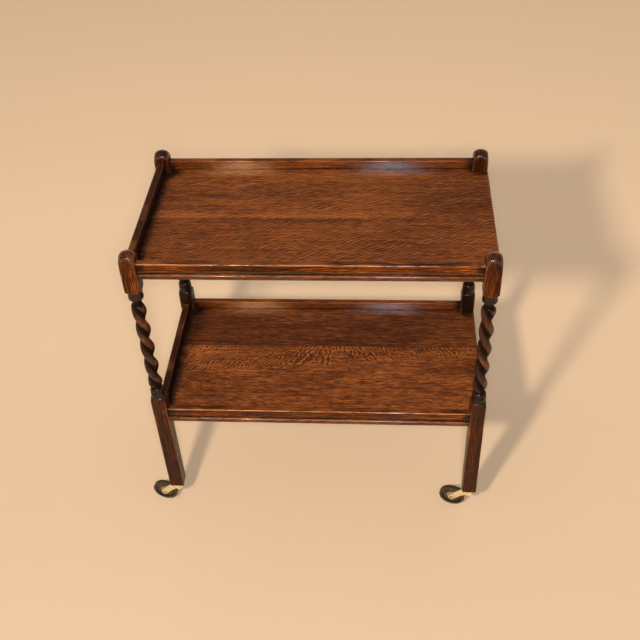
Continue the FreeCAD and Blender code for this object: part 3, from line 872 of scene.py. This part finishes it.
def post_marks(g, place):
    """Masks of a post: dirt and painted shade in the grooves and necks, worn on the crests and arrises,
    darker down the leg, painted shade on the back posts' fronts, glossy on the dome."""
    at = post_levels()
    x, y, z = g.split(place)
    off_x, off_y = post_offsets(g, x, y)
    radius = g.across(off_x, off_y)
    above_leg = g.ease(z, *about(at["leg_end"], LEG_BLEND))
    turned = g.times(above_leg, g.fall(z, *about(at["block_end"], BLOCK_BLEND)))
    above_neck = g.ease(z, at["twist_bottom"], at["twist_bottom"] + TWIST_RUNOUT)
    in_twist = g.times(above_neck, g.fall(z, at["twist_top"] - TWIST_RUNOUT, at["twist_top"]))
    # Dirt and painted shade darken the twist's grooves, the necks and the cups.
    groove = g.times(g.fall(radius, *GROOVE_R), turned)
    end_dirt_and_shade = g.times(g.less(turned, in_twist), TURNED_DIRT_AND_SHADE)
    worn = g.ease(g.noise(place, POST_WEAR, detail=3.0), *POST_WEAR_RANGE)
    crest = g.times(g.ease(radius, *CREST_R), in_twist, CREST_WEAR)
    arris = g.grow(radius, *ARRIS_R, ARRIS_WEAR)
    within = g.fall(g.most(g.size(off_x), g.size(off_y)), *about(POST_SIDE / 2, FACE_SKIN))
    dome = g.times(g.ease(z, *about(at["tip"], DOME_BLEND)), within)
    block = g.less(g.ease(z, *about(at["block_end"], BLOCK_FOOT)), dome)
    # Painted shade on the back posts, on their front faces only.
    back_face = g.fall(y, *about(post_axis("back_right").y, BACK_FACE))
    shade = g.add(
        g.fade(z, at["leg_end"], at["block_end"], POST_SHADE["leg"]),
        g.times(g.ease(y, *BACK_ROW), back_face, POST_SHADE["back"]),
        g.times(turned, POST_SHADE["turned"]),
        g.times(dome, POST_SHADE["dome"]),
        POST_SHADE["all"],
    )
    rubbed = g.most(
        g.times(block, POST_RUBBED["block"]),
        g.fade(z, *about(at["leg_end"], LEG_TOP), POST_RUBBED["leg"]),
        g.times(turned, POST_RUBBED["turned"]),
        g.times(groove, POST_RUBBED["groove"]),
    )
    return {
        "grime": g.most(groove, end_dirt_and_shade),
        "wear": g.times(g.most(crest, arris), worn),
        "shade": shade,
        "polish": g.less(1.0, rubbed),
    }


def plain_marks(g, place):
    """Hidden pieces gather a little dirt everywhere."""
    return {"grime": g.times(g.noise(place, HIDDEN_DIRT_SIZE, detail=3.0), HIDDEN_DIRT)}


def figure(cut):
    """Inputs of the oak's figure for one cut of the wood."""
    length, width, dashes, clouds, lean, spacing, ripples, jitter = CUTS[cut]
    slope = math.radians(lean)
    skew = 1 / math.tan(slope)
    step = spacing / math.sin(slope)
    return dict(zip(FIGURE_INPUTS, (length, width, dashes, clouds, skew, step, ripples, jitter)))


def board_grain(tray, stretch):
    """Grain along a tray's board, measured from its joint, at its own stretch of the log."""
    return along_x((stretch, -tray_box(tray)["joint"], stretch))


def wood_materials():
    """Each kind of oak piece has its own cut of the wood, from its own stretch of the log."""
    inner = (OAK_DARK, OAK_BROWN, OAK_ORANGE)
    outer = (OAK_BLACK, OAK_RUST, OAK_RUSSET)
    dull = (OAK_DARK, OAK_BROWN, OAK_BARE)
    bare = (OAK_BROWN, OAK_BARE, OAK_BARE)
    return {
        "top_back": polished_oak(
            "top_back_board_oak", board_grain("top", STRETCH["top_back"]), figure("top_back"), inner,
            board_marks("top", shade=-0.04, seam_light=0.28, right_shade=0.20)),
        "top_front": polished_oak(
            "top_front_board_oak", board_grain("top", STRETCH["top_front"]), figure("top_front"), inner,
            board_marks("top", shade=0.01, seam_shade=0.10), coat_roughness=0.15),
        # The lower back board is darker: a darker board, with painted shade under the top tray.
        "lower_back": polished_oak(
            "lower_back_board_oak", board_grain("lower", STRETCH["lower_back"]), figure("lower_back"), inner,
            board_marks("lower", shade=0.26)),
        "lower_front": polished_oak(
            "lower_front_board_oak", board_grain("lower", STRETCH["lower_front"]), figure("lower_front"),
            inner, board_marks("lower", feathered=True), coat_roughness=0.15),
        "front_rail": polished_oak(
            "front_rail_oak", along_rail(False, STRETCH["front_rail"]), figure("streaky"), outer,
            rail_marks(rubbed=True), roughness=0.42, coat_roughness=0.10),
        "back_rail": polished_oak(
            "back_rail_oak", along_rail(False, STRETCH["back_rail"]), figure("fine"), outer,
            rail_marks(shade=-0.06)),
        # The left rails are painted darker than the other rails, as painted shade.
        "end_rail": polished_oak(
            "end_rail_oak", along_rail(True, STRETCH["end_rail"]), figure("fine"), outer,
            rail_marks(shade=0.25, end=True), coat=0.55),
        "post": polished_oak(
            "post_oak_polished", along_z, figure("mottled"), outer, post_marks,
            roughness=0.36, coat_roughness=0.20, coat_ior=1.6),
        "bearer": polished_oak(
            "bearer_oak_dull", along_y(STRETCH["bearer"]), figure("plain"), dull, plain_marks,
            roughness=0.62, coat=0.0),
        "tongue": polished_oak(
            "tongue_oak_bare", along_x(STRETCH["tongue"]), figure("plain"), bare, plain_marks,
            roughness=0.7, coat=0.0),
    }


def metal(name, clean, dull, patch, roughness, dull_roughness, film=0.0):
    """Metal with tarnish clouds and fine rubbing. A film over it scatters this share of the light, and
    more where it is tarnished."""
    material, g, surface, place = new_material(name)
    tarnish = g.group(METAL_TARNISH, {"Vector": place, "Patch": patch})
    g.put(surface.inputs["Base Color"], g.mix(tarnish["Tarnish"], clean, dull))
    rub = g.times(g.less(tarnish["Rub"], NOISE_MIDDLE), METAL_RUB_DULL)
    spread = g.times(tarnish["Tarnish"], dull_roughness - roughness)
    g.put(surface.inputs["Roughness"], g.add(spread, rub, roughness))
    if film:
        thicker = g.add(g.times(tarnish["Tarnish"], TARNISH_FILM), 1.0)
        g.put(surface.inputs["Metallic"], g.less(1.0, g.times(thicker, film)))
    else:
        surface.inputs["Metallic"].default_value = 1.0
    bump(g, surface, tarnish["Rub"], METAL_BUMP, METAL_BUMP_DEPTH)
    return material


def wheel_material(corner):
    """Moulded brown-black wheel: a pale tan hub ring, a brown dish, a black ring painted as the shade
    between dish and rim, a brown rim, a dusty tread.
    """
    material, g, surface, place = new_material(corner + "_wheel_moulded")
    low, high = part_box(corner + "_caster_wheel")
    radius = g.vector("LENGTH", g.vector("SUBTRACT", place, (low + high) / 2))
    marble = g.noise(place, WHEEL_MARBLE, detail=4.0, rough=0.6, distort=0.8)
    wavy = g.add(radius, g.times(g.less(marble, NOISE_MIDDLE), MARBLE_WAVER))
    dish = g.times(g.fall(wavy, *DISH_RING), g.ease(marble, *DISH_MARBLE))
    rim = g.times(g.ease(wavy, *RIM_INSIDE), g.fall(wavy, *RIM_OUTSIDE), g.ease(marble, *RIM_MARBLE))
    dust = {"Vector": place, "Nearness": g.ease(radius, *TREAD_RING), "Patch": DUST_PATCH}
    tread = g.times(g.group(WAX_GRIME_AND_SHADE, dust)["Mask"], DUST_SHARE)
    # The black left between dish and rim is painted shade in the groove.
    colour = g.mix(dish, WHEEL_BLACK, WHEEL_BROWN)
    colour = g.mix(rim, colour, WHEEL_RIM)
    colour = g.mix(tread, colour, WHEEL_DUST)
    colour = g.mix(g.fade(wavy, *HUB_RING), colour, WHEEL_HUB)
    g.put(surface.inputs["Base Color"], colour)
    scuff = g.noise(place, SCUFF_SIZE, detail=3.0)
    g.put(surface.inputs["Roughness"], g.add(g.times(scuff, SCUFF_DULL), WHEEL_ROUGHNESS))
    surface.inputs["Specular IOR Level"].default_value = WHEEL_SPECULAR
    bump(g, surface, scuff, WHEEL_BUMP, WHEEL_BUMP_DEPTH)
    return material


def finish_nodes(woods):
    """Gives every CAD node its finish."""
    brass = metal(
        "horn_brass", BRASS, BRASS_DULL, patch=0.016, roughness=0.26, dull_roughness=0.44, film=0.42)
    iron = metal("socket_iron", IRON, IRON_RUST, patch=0.006, roughness=0.45, dull_roughness=0.7)
    steel = metal("pin_steel", STEEL, STEEL_DULL, patch=0.007, roughness=0.30, dull_roughness=0.55)
    finishes = {}
    for tray in TRAYS:
        for row in ("front", "back"):
            finishes[f"{tray}_tray_{row}_board"] = woods[f"{tray}_{row}"]
            finishes[f"{tray}_tray_{row}_rail"] = woods[row + "_rail"]
        finishes[f"{tray}_tray_left_rail"] = woods["end_rail"]
        finishes[f"{tray}_tray_tongue"] = woods["tongue"]
        for end in ("left", "right"):
            finishes[f"{tray}_tray_{end}_bearer"] = woods["bearer"]
    for corner in CORNERS:
        finishes[corner + "_caster_horn"] = brass
        finishes[corner + "_caster_socket"] = iron
        finishes[corner + "_caster_pintle"] = steel
        finishes[corner + "_caster_axle"] = steel
        finishes[corner + "_caster_wheel"] = wheel_material(corner)
    for node, material in finishes.items():
        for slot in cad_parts[node].material_slots:
            slot.material = material
    return steel


def arc_points(start, end, sag, spacing):
    """Points after start along the arc to end; a positive sag bulges to the left of the way."""
    chord = end - start
    side = Vector((-chord.y, chord.x)).normalized()
    half = 2 * math.atan2(2 * abs(sag), chord.length)
    radius = chord.length / 2 / math.sin(half)
    towards = math.copysign(1.0, sag)
    centre = (start + end) / 2 + side * (sag - towards * radius)
    count = max(ARC_PARTS, math.ceil(2 * half * radius / spacing))
    spoke = start - centre
    points = []
    for i in range(1, count + 1):
        turn = -towards * 2 * half * i / count
        points.append(centre + Matrix.Rotation(turn, 2) @ spoke)
    return points


def line_points(start, end, spacing):
    """Points after start along a line, with a ring close to each end so that its corners stay crisp."""
    way = end - start
    length = way.length
    if length < 3 * CRISP:
        return [end]
    count = max(1, math.ceil(length / spacing))
    shares = {i / count for i in range(1, count)} | {CRISP / length, 1 - CRISP / length, 1.0}
    return [start + way * share for share in sorted(shares)]


def post_profile():
    """Radius and height up a post's turned blank."""
    at = post_levels()
    ring = at["leg_end"] + RING_STRAIGHT
    past = TWIST_R + TWIST_SPARE
    cap_r = (DOME_KNEE_R ** 2 + DOME_KNEE_DROP ** 2) / (2 * DOME_KNEE_DROP)
    cap_sag = cap_r * (1 - math.cos(math.asin(DOME_KNEE_R / cap_r) / 2))
    steps = [
        (CORNER_R, at["foot"], None, WHOLE_STEP),
        (CORNER_R, at["leg_end"] - LEG_POMMEL, None, LEG_STEP),
        (TURNED_R, at["leg_end"], -POMMEL_SAG, POMMEL_STEP),
        (TURNED_R, ring, None, STRAIGHT_STEP),
        (RING_R - QUIRK_DEPTH, ring + QUIRK_HEIGHT / 2, None, NECK_STEP),
        (RING_R, ring + QUIRK_HEIGHT, None, NECK_STEP),
        (NECK_R, at["lower_neck"], -RING_SAG, BEAD_STEP),
        (NECK_R, at["twist_bottom"], None, NECK_STEP),
        (past, at["twist_bottom"] + TWIST_SHOULDER, -TWIST_SHOULDER_SAG, BEAD_STEP),
        (past, at["twist_top"] - TWIST_SHOULDER, None, TWIST_STEP),
        (NECK_R, at["twist_top"], -TWIST_SHOULDER_SAG, BEAD_STEP),
        (NECK_R, at["upper_neck"], None, NECK_STEP),
        (CUP_LIP_R, at["upper_neck"] + CUP_LIP_RISE, CUP_FOOT_SAG, CUP_STEP),
        (TURNED_R, at["block_end"] - CUP_STRAIGHT, -CUP_SAG, CUP_STEP),
        (TURNED_R, at["block_end"], None, STRAIGHT_STEP),
        (CORNER_R, at["block_end"] + BLOCK_POMMEL, -POMMEL_SAG, POMMEL_STEP),
        (CORNER_R, at["tip"] - DOME_HEIGHT, None, BLOCK_STEP),
        (DOME_KNEE_R, at["tip"] - DOME_KNEE_DROP, -DOME_SIDE_SAG, DOME_STEP),
        (0.0, at["tip"], -cap_sag, BEAD_STEP),
    ]
    here = Vector((0.0, at["foot"]))
    points = [here]
    for radius, height, sag, spacing in steps:
        there = Vector((radius, height))
        points += arc_points(here, there, sag, spacing) if sag else line_points(here, there, spacing)
        here = there
    return points


def turned_blank(name):
    """Plain turned blank of a post about Z, closed at its foot and tip."""
    profile = post_profile()
    shape = bmesh.new()
    bottom = shape.verts.new((0, 0, profile[0].y))
    top = shape.verts.new((0, 0, profile[-1].y))
    rings = []
    for point in profile[1:-1]:
        ring = []
        for i in range(POST_SIDES):
            turn = 2 * math.pi * i / POST_SIDES
            ring.append(shape.verts.new((point.x * math.cos(turn), point.x * math.sin(turn), point.y)))
        rings.append(ring)
    for i in range(POST_SIDES):
        j = (i + 1) % POST_SIDES
        shape.faces.new((bottom, rings[0][j], rings[0][i]))
        shape.faces.new((top, rings[-1][i], rings[-1][j]))
        for low, high in zip(rings, rings[1:]):
            shape.faces.new((low[i], low[j], high[j], high[i]))
    mesh = bpy.data.meshes.new(name)
    shape.to_mesh(mesh)
    shape.free()
    return mesh


def carving_tree():
    """Cuts a turned blank square outside the turning, and the double twist into its middle."""
    sizes = floats("Side", "Arris", "Ease", "Dome Ease", "Dome Bottom", "Dome Top", "Pitch", "Strand Radius",
                   "Strand Offset", "Groove", "Lobe Height", "Twist Bottom", "Twist Top", "Fade")
    tree, g, given, out = new_tree(
        "barley_twist_carving",
        "GeometryNodeTree",
        [("Blank", "Geometry"), *sizes, ("Axis", "Vector"), ("Oak", "Material")],
        [("Post", "Geometry")],
    )
    place = g.node("GeometryNodeInputPosition").outputs[0]
    x, y, z = g.split(place)
    radius = g.across(x, y)
    angle = g.math("ARCTAN2", y, x)
    cosine, sine = g.math("COSINE", angle), g.math("SINE", angle)
    widest = g.math("SMOOTH_MAX", g.size(cosine), g.size(sine), given["Arris"])
    stock = g.math("DIVIDE", g.math("DIVIDE", given["Side"], 2.0), widest)
    up_dome = g.ease(z, given["Dome Bottom"], given["Dome Top"])
    worn = g.add(given["Ease"], g.times(up_dome, given["Dome Ease"]))
    squared = g.math("SMOOTH_MIN", radius, stock, worn)
    climb = g.math("DIVIDE", g.less(z, given["Lobe Height"]), given["Pitch"])
    turn = g.add(angle, g.times(climb, 2 * math.pi))
    out_along = g.times(given["Strand Offset"], g.math("COSINE", turn))
    aside = g.times(given["Strand Offset"], g.math("SINE", turn))
    reach = g.math("SQRT", g.less(g.math("POWER", given["Strand Radius"], 2.0), g.times(aside, aside)))
    strands = g.math("SMOOTH_MAX", g.add(reach, out_along), g.less(reach, out_along), given["Groove"])
    rise = g.ease(z, given["Twist Bottom"], g.add(given["Twist Bottom"], given["Fade"]))
    drop = g.fall(z, g.less(given["Twist Top"], given["Fade"]), given["Twist Top"])
    cut = g.less(g.math("SMOOTH_MIN", squared, strands, given["Ease"]), squared)
    carved = g.add(squared, g.times(cut, g.times(rise, drop)))
    spot = g.join(g.times(carved, cosine), g.times(carved, sine), z)
    moved = g.node("GeometryNodeSetPosition", {
        "Geometry": given["Blank"],
        "Position": g.vector("ADD", spot, given["Axis"]),
    })
    smooth = g.node("GeometryNodeSetShadeSmooth", {"Geometry": moved.outputs[0]})
    whole = g.node("GeometryNodeRealizeInstances", {"Geometry": smooth.outputs[0]})
    oak = g.node("GeometryNodeSetMaterial", {"Geometry": whole.outputs[0], "Material": given["Oak"]})
    g.put(out["Post"], oak.outputs[0])
    return tree


def grown(name, mesh, tree, values):
    """Plain mesh object from a mesh and a node tree with these inputs."""
    seed = bpy.data.objects.new(name + "_seed", mesh)
    bpy.context.scene.collection.objects.link(seed)
    modifier = seed.modifiers.new("shape", "NODES")
    modifier.node_group = tree
    for item in tree.interface.items_tree:
        if item.item_type == "SOCKET" and item.in_out == "INPUT" and item.name in values:
            modifier[item.identifier] = values[item.name]
    depsgraph = bpy.context.evaluated_depsgraph_get()
    shaped = bpy.data.meshes.new_from_object(seed.evaluated_get(depsgraph))
    seed.modifiers.remove(modifier)
    bpy.data.objects.remove(seed)
    piece = bpy.data.objects.new(name, shaped)
    bpy.context.scene.collection.objects.link(piece)
    return piece


def make_posts(oak):
    """The four posts, each carved on its own axis."""
    at = post_levels()
    dome_bottom, dome_top = (at["tip"] - share * DOME_HEIGHT for share in DOME_WEAR)
    tree = carving_tree()
    for corner in CORNERS:
        axis = post_axis(corner)
        piece = grown(corner + "_turned_post", turned_blank(corner + "_blank"), tree, {
            "Side": POST_SIDE,
            "Arris": POST_ARRIS,
            "Ease": EDGE_EASE,
            "Dome Ease": DOME_EASE,
            "Dome Bottom": dome_bottom,
            "Dome Top": dome_top,
            "Pitch": TWIST_PITCH,
            "Strand Radius": STRAND_R,
            "Strand Offset": TWIST_R - STRAND_R,
            "Groove": TWIST_GROOVE,
            "Lobe Height": at["lobe"],
            "Twist Bottom": at["twist_bottom"],
            "Twist Top": at["twist_top"],
            "Fade": TWIST_FADE,
            "Axis": (axis.x, axis.y, 0.0),
            "Oak": oak,
        })
        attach(piece, "frame")
        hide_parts(corner + "_post")


def screw_tree():
    """Slotted countersunk screws standing on points, head down, each slot turned its own way."""
    sizes = floats("Head Radius", "Shank Radius", "Head Height", "Length", "Slot Width", "Slot Depth")
    tree, g, given, out = new_tree(
        "slotted_screws",
        "GeometryNodeTree",
        [("Points", "Geometry"), *sizes, ("Seed", "Int"), ("Steel", "Material")],
        [("Screws", "Geometry")],
    )
    head = g.node("GeometryNodeMeshCone", {
        "Vertices": SCREW_HEAD_SIDES,
        "Radius Top": given["Shank Radius"],
        "Radius Bottom": given["Head Radius"],
        "Depth": given["Head Height"],
    })
    long_slot = g.times(given["Head Radius"], SCREW_SLOT_RUN)
    deep_slot = g.times(given["Slot Depth"], 2.0)
    slot = g.node("GeometryNodeMeshCube", {"Size": g.join(long_slot, given["Slot Width"], deep_slot)})
    both = {"Mesh 1": head.outputs[0], "Mesh 2": slot.outputs[0]}
    cut = g.node("GeometryNodeMeshBoolean", both, operation="DIFFERENCE")
    shank_length = g.less(given["Length"], given["Head Height"])
    shank = g.node("GeometryNodeMeshCylinder", {
        "Vertices": SCREW_SHANK_SIDES,
        "Radius": given["Shank Radius"],
        "Depth": shank_length,
    })
    lift = g.add(given["Head Height"], g.math("DIVIDE", shank_length, 2.0))
    raised = g.node("GeometryNodeTransform", {
        "Geometry": shank.outputs[0],
        "Translation": g.join(0.0, 0.0, lift),
    })
    joined = g.node("GeometryNodeJoinGeometry")
    g.put(joined.inputs[0], cut.outputs[0])
    g.put(joined.inputs[0], raised.outputs[0])
    turn = g.node("FunctionNodeRandomValue", {RANDOM_MAX: math.pi, "Seed": given["Seed"]}, data_type="FLOAT")
    placed = g.node("GeometryNodeInstanceOnPoints", {
        "Points": given["Points"],
        "Instance": joined.outputs[0],
        "Rotation": g.join(0.0, 0.0, turn.outputs[RANDOM_RESULT]),
    })
    whole = g.node("GeometryNodeRealizeInstances", {"Geometry": placed.outputs[0]})
    steel = g.node("GeometryNodeSetMaterial", {"Geometry": whole.outputs[0], "Material": given["Steel"]})
    g.put(out["Screws"], steel.outputs[0])
    return tree


def rail_screw_points(tray):
    """Places of the screws that hold one tray's gallery rails."""
    inset = TENON_LENGTH + RAIL_SCREW_END
    points = []
    for row in ("front", "back"):
        low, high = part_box(f"{tray}_tray_{row}_rail")
        first, last = low.x + inset, high.x - inset
        points += [(x, (low.y + high.y) / 2) for x in (first, (first + last) / 2, last)]
    low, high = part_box(tray + "_tray_left_rail")
    points += [((low.x + high.x) / 2, y) for y in (low.y + inset, high.y - inset)]
    return points


def bearer_screw_points(tray):
    """Places of the screws through one tray's two bearers."""
    inset = TENON_LENGTH + BEARER_SCREW_END
    points = []
    for end in ("left", "right"):
        low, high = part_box(f"{tray}_tray_{end}_bearer")
        points += [((low.x + high.x) / 2, y) for y in (low.y + inset, high.y - inset)]
    return points


def make_screws(steel):
    """Screws under each tray."""
    tree = screw_tree()
    kinds = (
        ("rail_screws", rail_screw_points, RAIL_SCREW_LENGTH),
        ("bearer_screws", bearer_screw_points, BEARER_SCREW_LENGTH),
    )
    for number, tray in enumerate(TRAYS):
        for kind, points, length in kinds:
            node = f"{tray}_tray_{kind}"
            head_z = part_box(node)[0].z
            mesh = bpy.data.meshes.new(node + "_points")
            mesh.from_pydata([(x, y, head_z) for x, y in points(tray)], [], [])
            piece = grown(f"{tray}_slotted_{kind}", mesh, tree, {
                "Head Radius": SCREW_HEAD_R,
                "Shank Radius": SCREW_SHANK_R,
                "Head Height": SCREW_HEAD_H,
                "Length": length,
                "Slot Width": SCREW_SLOT_W,
                "Slot Depth": SCREW_SLOT_DEPTH,
                "Seed": SCREW_SEED + number,
                "Steel": steel,
            })
            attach(piece, "frame")
            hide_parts(node)


def make_floor():
    """Plain pale floor that runs out of sight, painted paler towards the back as painted light."""
    near, far = -FLOOR_REACH, FLOOR_REACH
    mesh = bpy.data.meshes.new("studio_floor")
    corners = [(near, near, 0), (far, near, 0), (far, far, 0), (near, far, 0)]
    mesh.from_pydata(corners, [], [(0, 1, 2, 3)])
    floor = bpy.data.objects.new("studio_floor", mesh)
    bpy.context.scene.collection.objects.link(floor)
    material, g, surface, place = new_material("pale_floor")
    x, y, z = g.split(place)
    clouds = g.times(g.noise(place, FLOOR_CLOUD, detail=4.0), FLOOR_CLOUDS)
    # Painted light: paler to the back, with random clouds in its tone.
    pale = g.add(g.ease(y, *FLOOR_PAINTED_LIGHT), clouds)
    g.put(surface.inputs["Base Color"], g.mix(pale, FLOOR_COLOUR, FLOOR_PALE))
    surface.inputs["Roughness"].default_value = FLOOR_ROUGHNESS
    surface.inputs["Specular IOR Level"].default_value = FLOOR_SPECULAR
    path = g.node("ShaderNodeLightPath").outputs
    seen = g.most(path["Is Camera Ray"], path["Is Glossy Ray"], path["Is Transmission Ray"])
    gone = g.times(g.ease(g.vector("LENGTH", place), *FLOOR_FADE), seen)
    glow = g.node("ShaderNodeEmission", {"Color": BACKDROP, "Strength": 1.0})
    faded = g.node("ShaderNodeMixShader", {0: gone, 1: surface.outputs[0], 2: glow.outputs[0]})
    output = next(node for node in g.tree.nodes if node.type == "OUTPUT_MATERIAL")
    g.put(output.inputs["Surface"], faded.outputs[0])
    mesh.materials.append(material)


def make_world():
    """Even room light, with a pale backdrop past the floor. Polish and metal mirror the backdrop low down
    and a dim room above it."""
    world = bpy.data.worlds.new("studio_room")
    world.use_nodes = True
    world.node_tree.nodes.clear()
    g = Graph(world.node_tree)
    path = g.node("ShaderNodeLightPath").outputs
    x, y, z = g.split(g.node("ShaderNodeTexCoord").outputs["Generated"])
    mirrored = g.most(path["Is Glossy Ray"], path["Is Transmission Ray"])
    seen = g.most(path["Is Camera Ray"], g.times(mirrored, g.fall(z, *BACKDROP_FADE)))
    colour = g.mix(path["Is Diffuse Ray"], ROOM_LIGHT, ROOM_FILL)
    colour = g.mix(seen, colour, BACKDROP)
    background = g.node("ShaderNodeBackground", {"Color": colour, "Strength": 1.0})
    output = g.node("ShaderNodeOutputWorld")
    world.node_tree.links.new(background.outputs[0], output.inputs["Surface"])
    world.cycles.sampling_method = "NONE"
    bpy.context.scene.world = world


def lamp(name, place, radius, power, colour):
    """Round lamp at its own place in the room."""
    data = bpy.data.lights.new(name, "POINT")
    data.shadow_soft_size = radius
    data.energy = power
    data.color = colour
    bulb = bpy.data.objects.new(name, data)
    bulb.location = place
    bulb.visible_camera = False
    bpy.context.scene.collection.objects.link(bulb)
    return bulb


def glint_lamp(name, place, power, colour):
    """Small lamp that shows only as a glint in the polish and the metal."""
    lamp(name, place, GLINT_R, power, colour).visible_diffuse = False


def even_lamp(name, place, strength, colour):
    """Soft lamp that lights near and far alike, and leaves the glints to the small lamps."""
    bulb = lamp(name, place, LAMP_R, strength * 4 * math.pi, colour)
    bulb.visible_glossy = False
    bulb.data.use_nodes = True
    g = Graph(bulb.data.node_tree)
    g.tree.nodes.clear()
    level = g.node("ShaderNodeLightFalloff", {"Strength": 1.0}).outputs["Constant"]
    glow = g.node("ShaderNodeEmission", {"Strength": level})
    g.put(g.node("ShaderNodeOutputLight").inputs["Surface"], glow.outputs[0])


def make_lights():
    """A warm lamp at the left of the camera and a cool one above it, with their glints."""
    even_lamp("warm_lamp", SIDE_LAMP, WARM_STRENGTH, WARM)
    even_lamp("cool_lamp", CAMERA_LAMP, COOL_STRENGTH, COOL)
    glint_lamp("warm_glint", SIDE_LAMP, WARM_GLINT_POWER, WARM_GLINT)
    glint_lamp("cool_glint", CAMERA_LAMP, COOL_GLINT_POWER, COOL_GLINT)


def make_camera():
    """Camera where the photograph was taken from."""
    yaw, pitch, roll = (math.radians(angle) for angle in (CAMERA_YAW, CAMERA_PITCH, CAMERA_ROLL))
    level = math.cos(pitch)
    forward = Vector((math.sin(yaw) * level, math.cos(yaw) * level, math.sin(pitch)))
    right = Vector((math.cos(yaw), -math.sin(yaw), 0.0))
    up = right.cross(forward)
    rolled_right = right * math.cos(roll) + up * math.sin(roll)
    rolled_up = up * math.cos(roll) - right * math.sin(roll)
    turn = Matrix((rolled_right, rolled_up, -forward)).transposed()
    data = bpy.data.cameras.new("photo_camera")
    data.sensor_width = SENSOR
    data.lens = CAMERA_FOCAL / IMAGE * SENSOR
    data.shift_y = CAMERA_SHIFT / IMAGE
    camera = bpy.data.objects.new("photo_camera", data)
    camera.matrix_world = Matrix.Translation(CAMERA_PLACE) @ turn.to_4x4()
    bpy.context.scene.collection.objects.link(camera)
    bpy.context.scene.camera = camera


bpy.context.scene.view_settings.view_transform = "Standard"
make_camera()
make_world()
make_lights()
make_floor()
woods = wood_materials()
steel = finish_nodes(woods)
make_posts(woods["post"])
make_screws(steel)
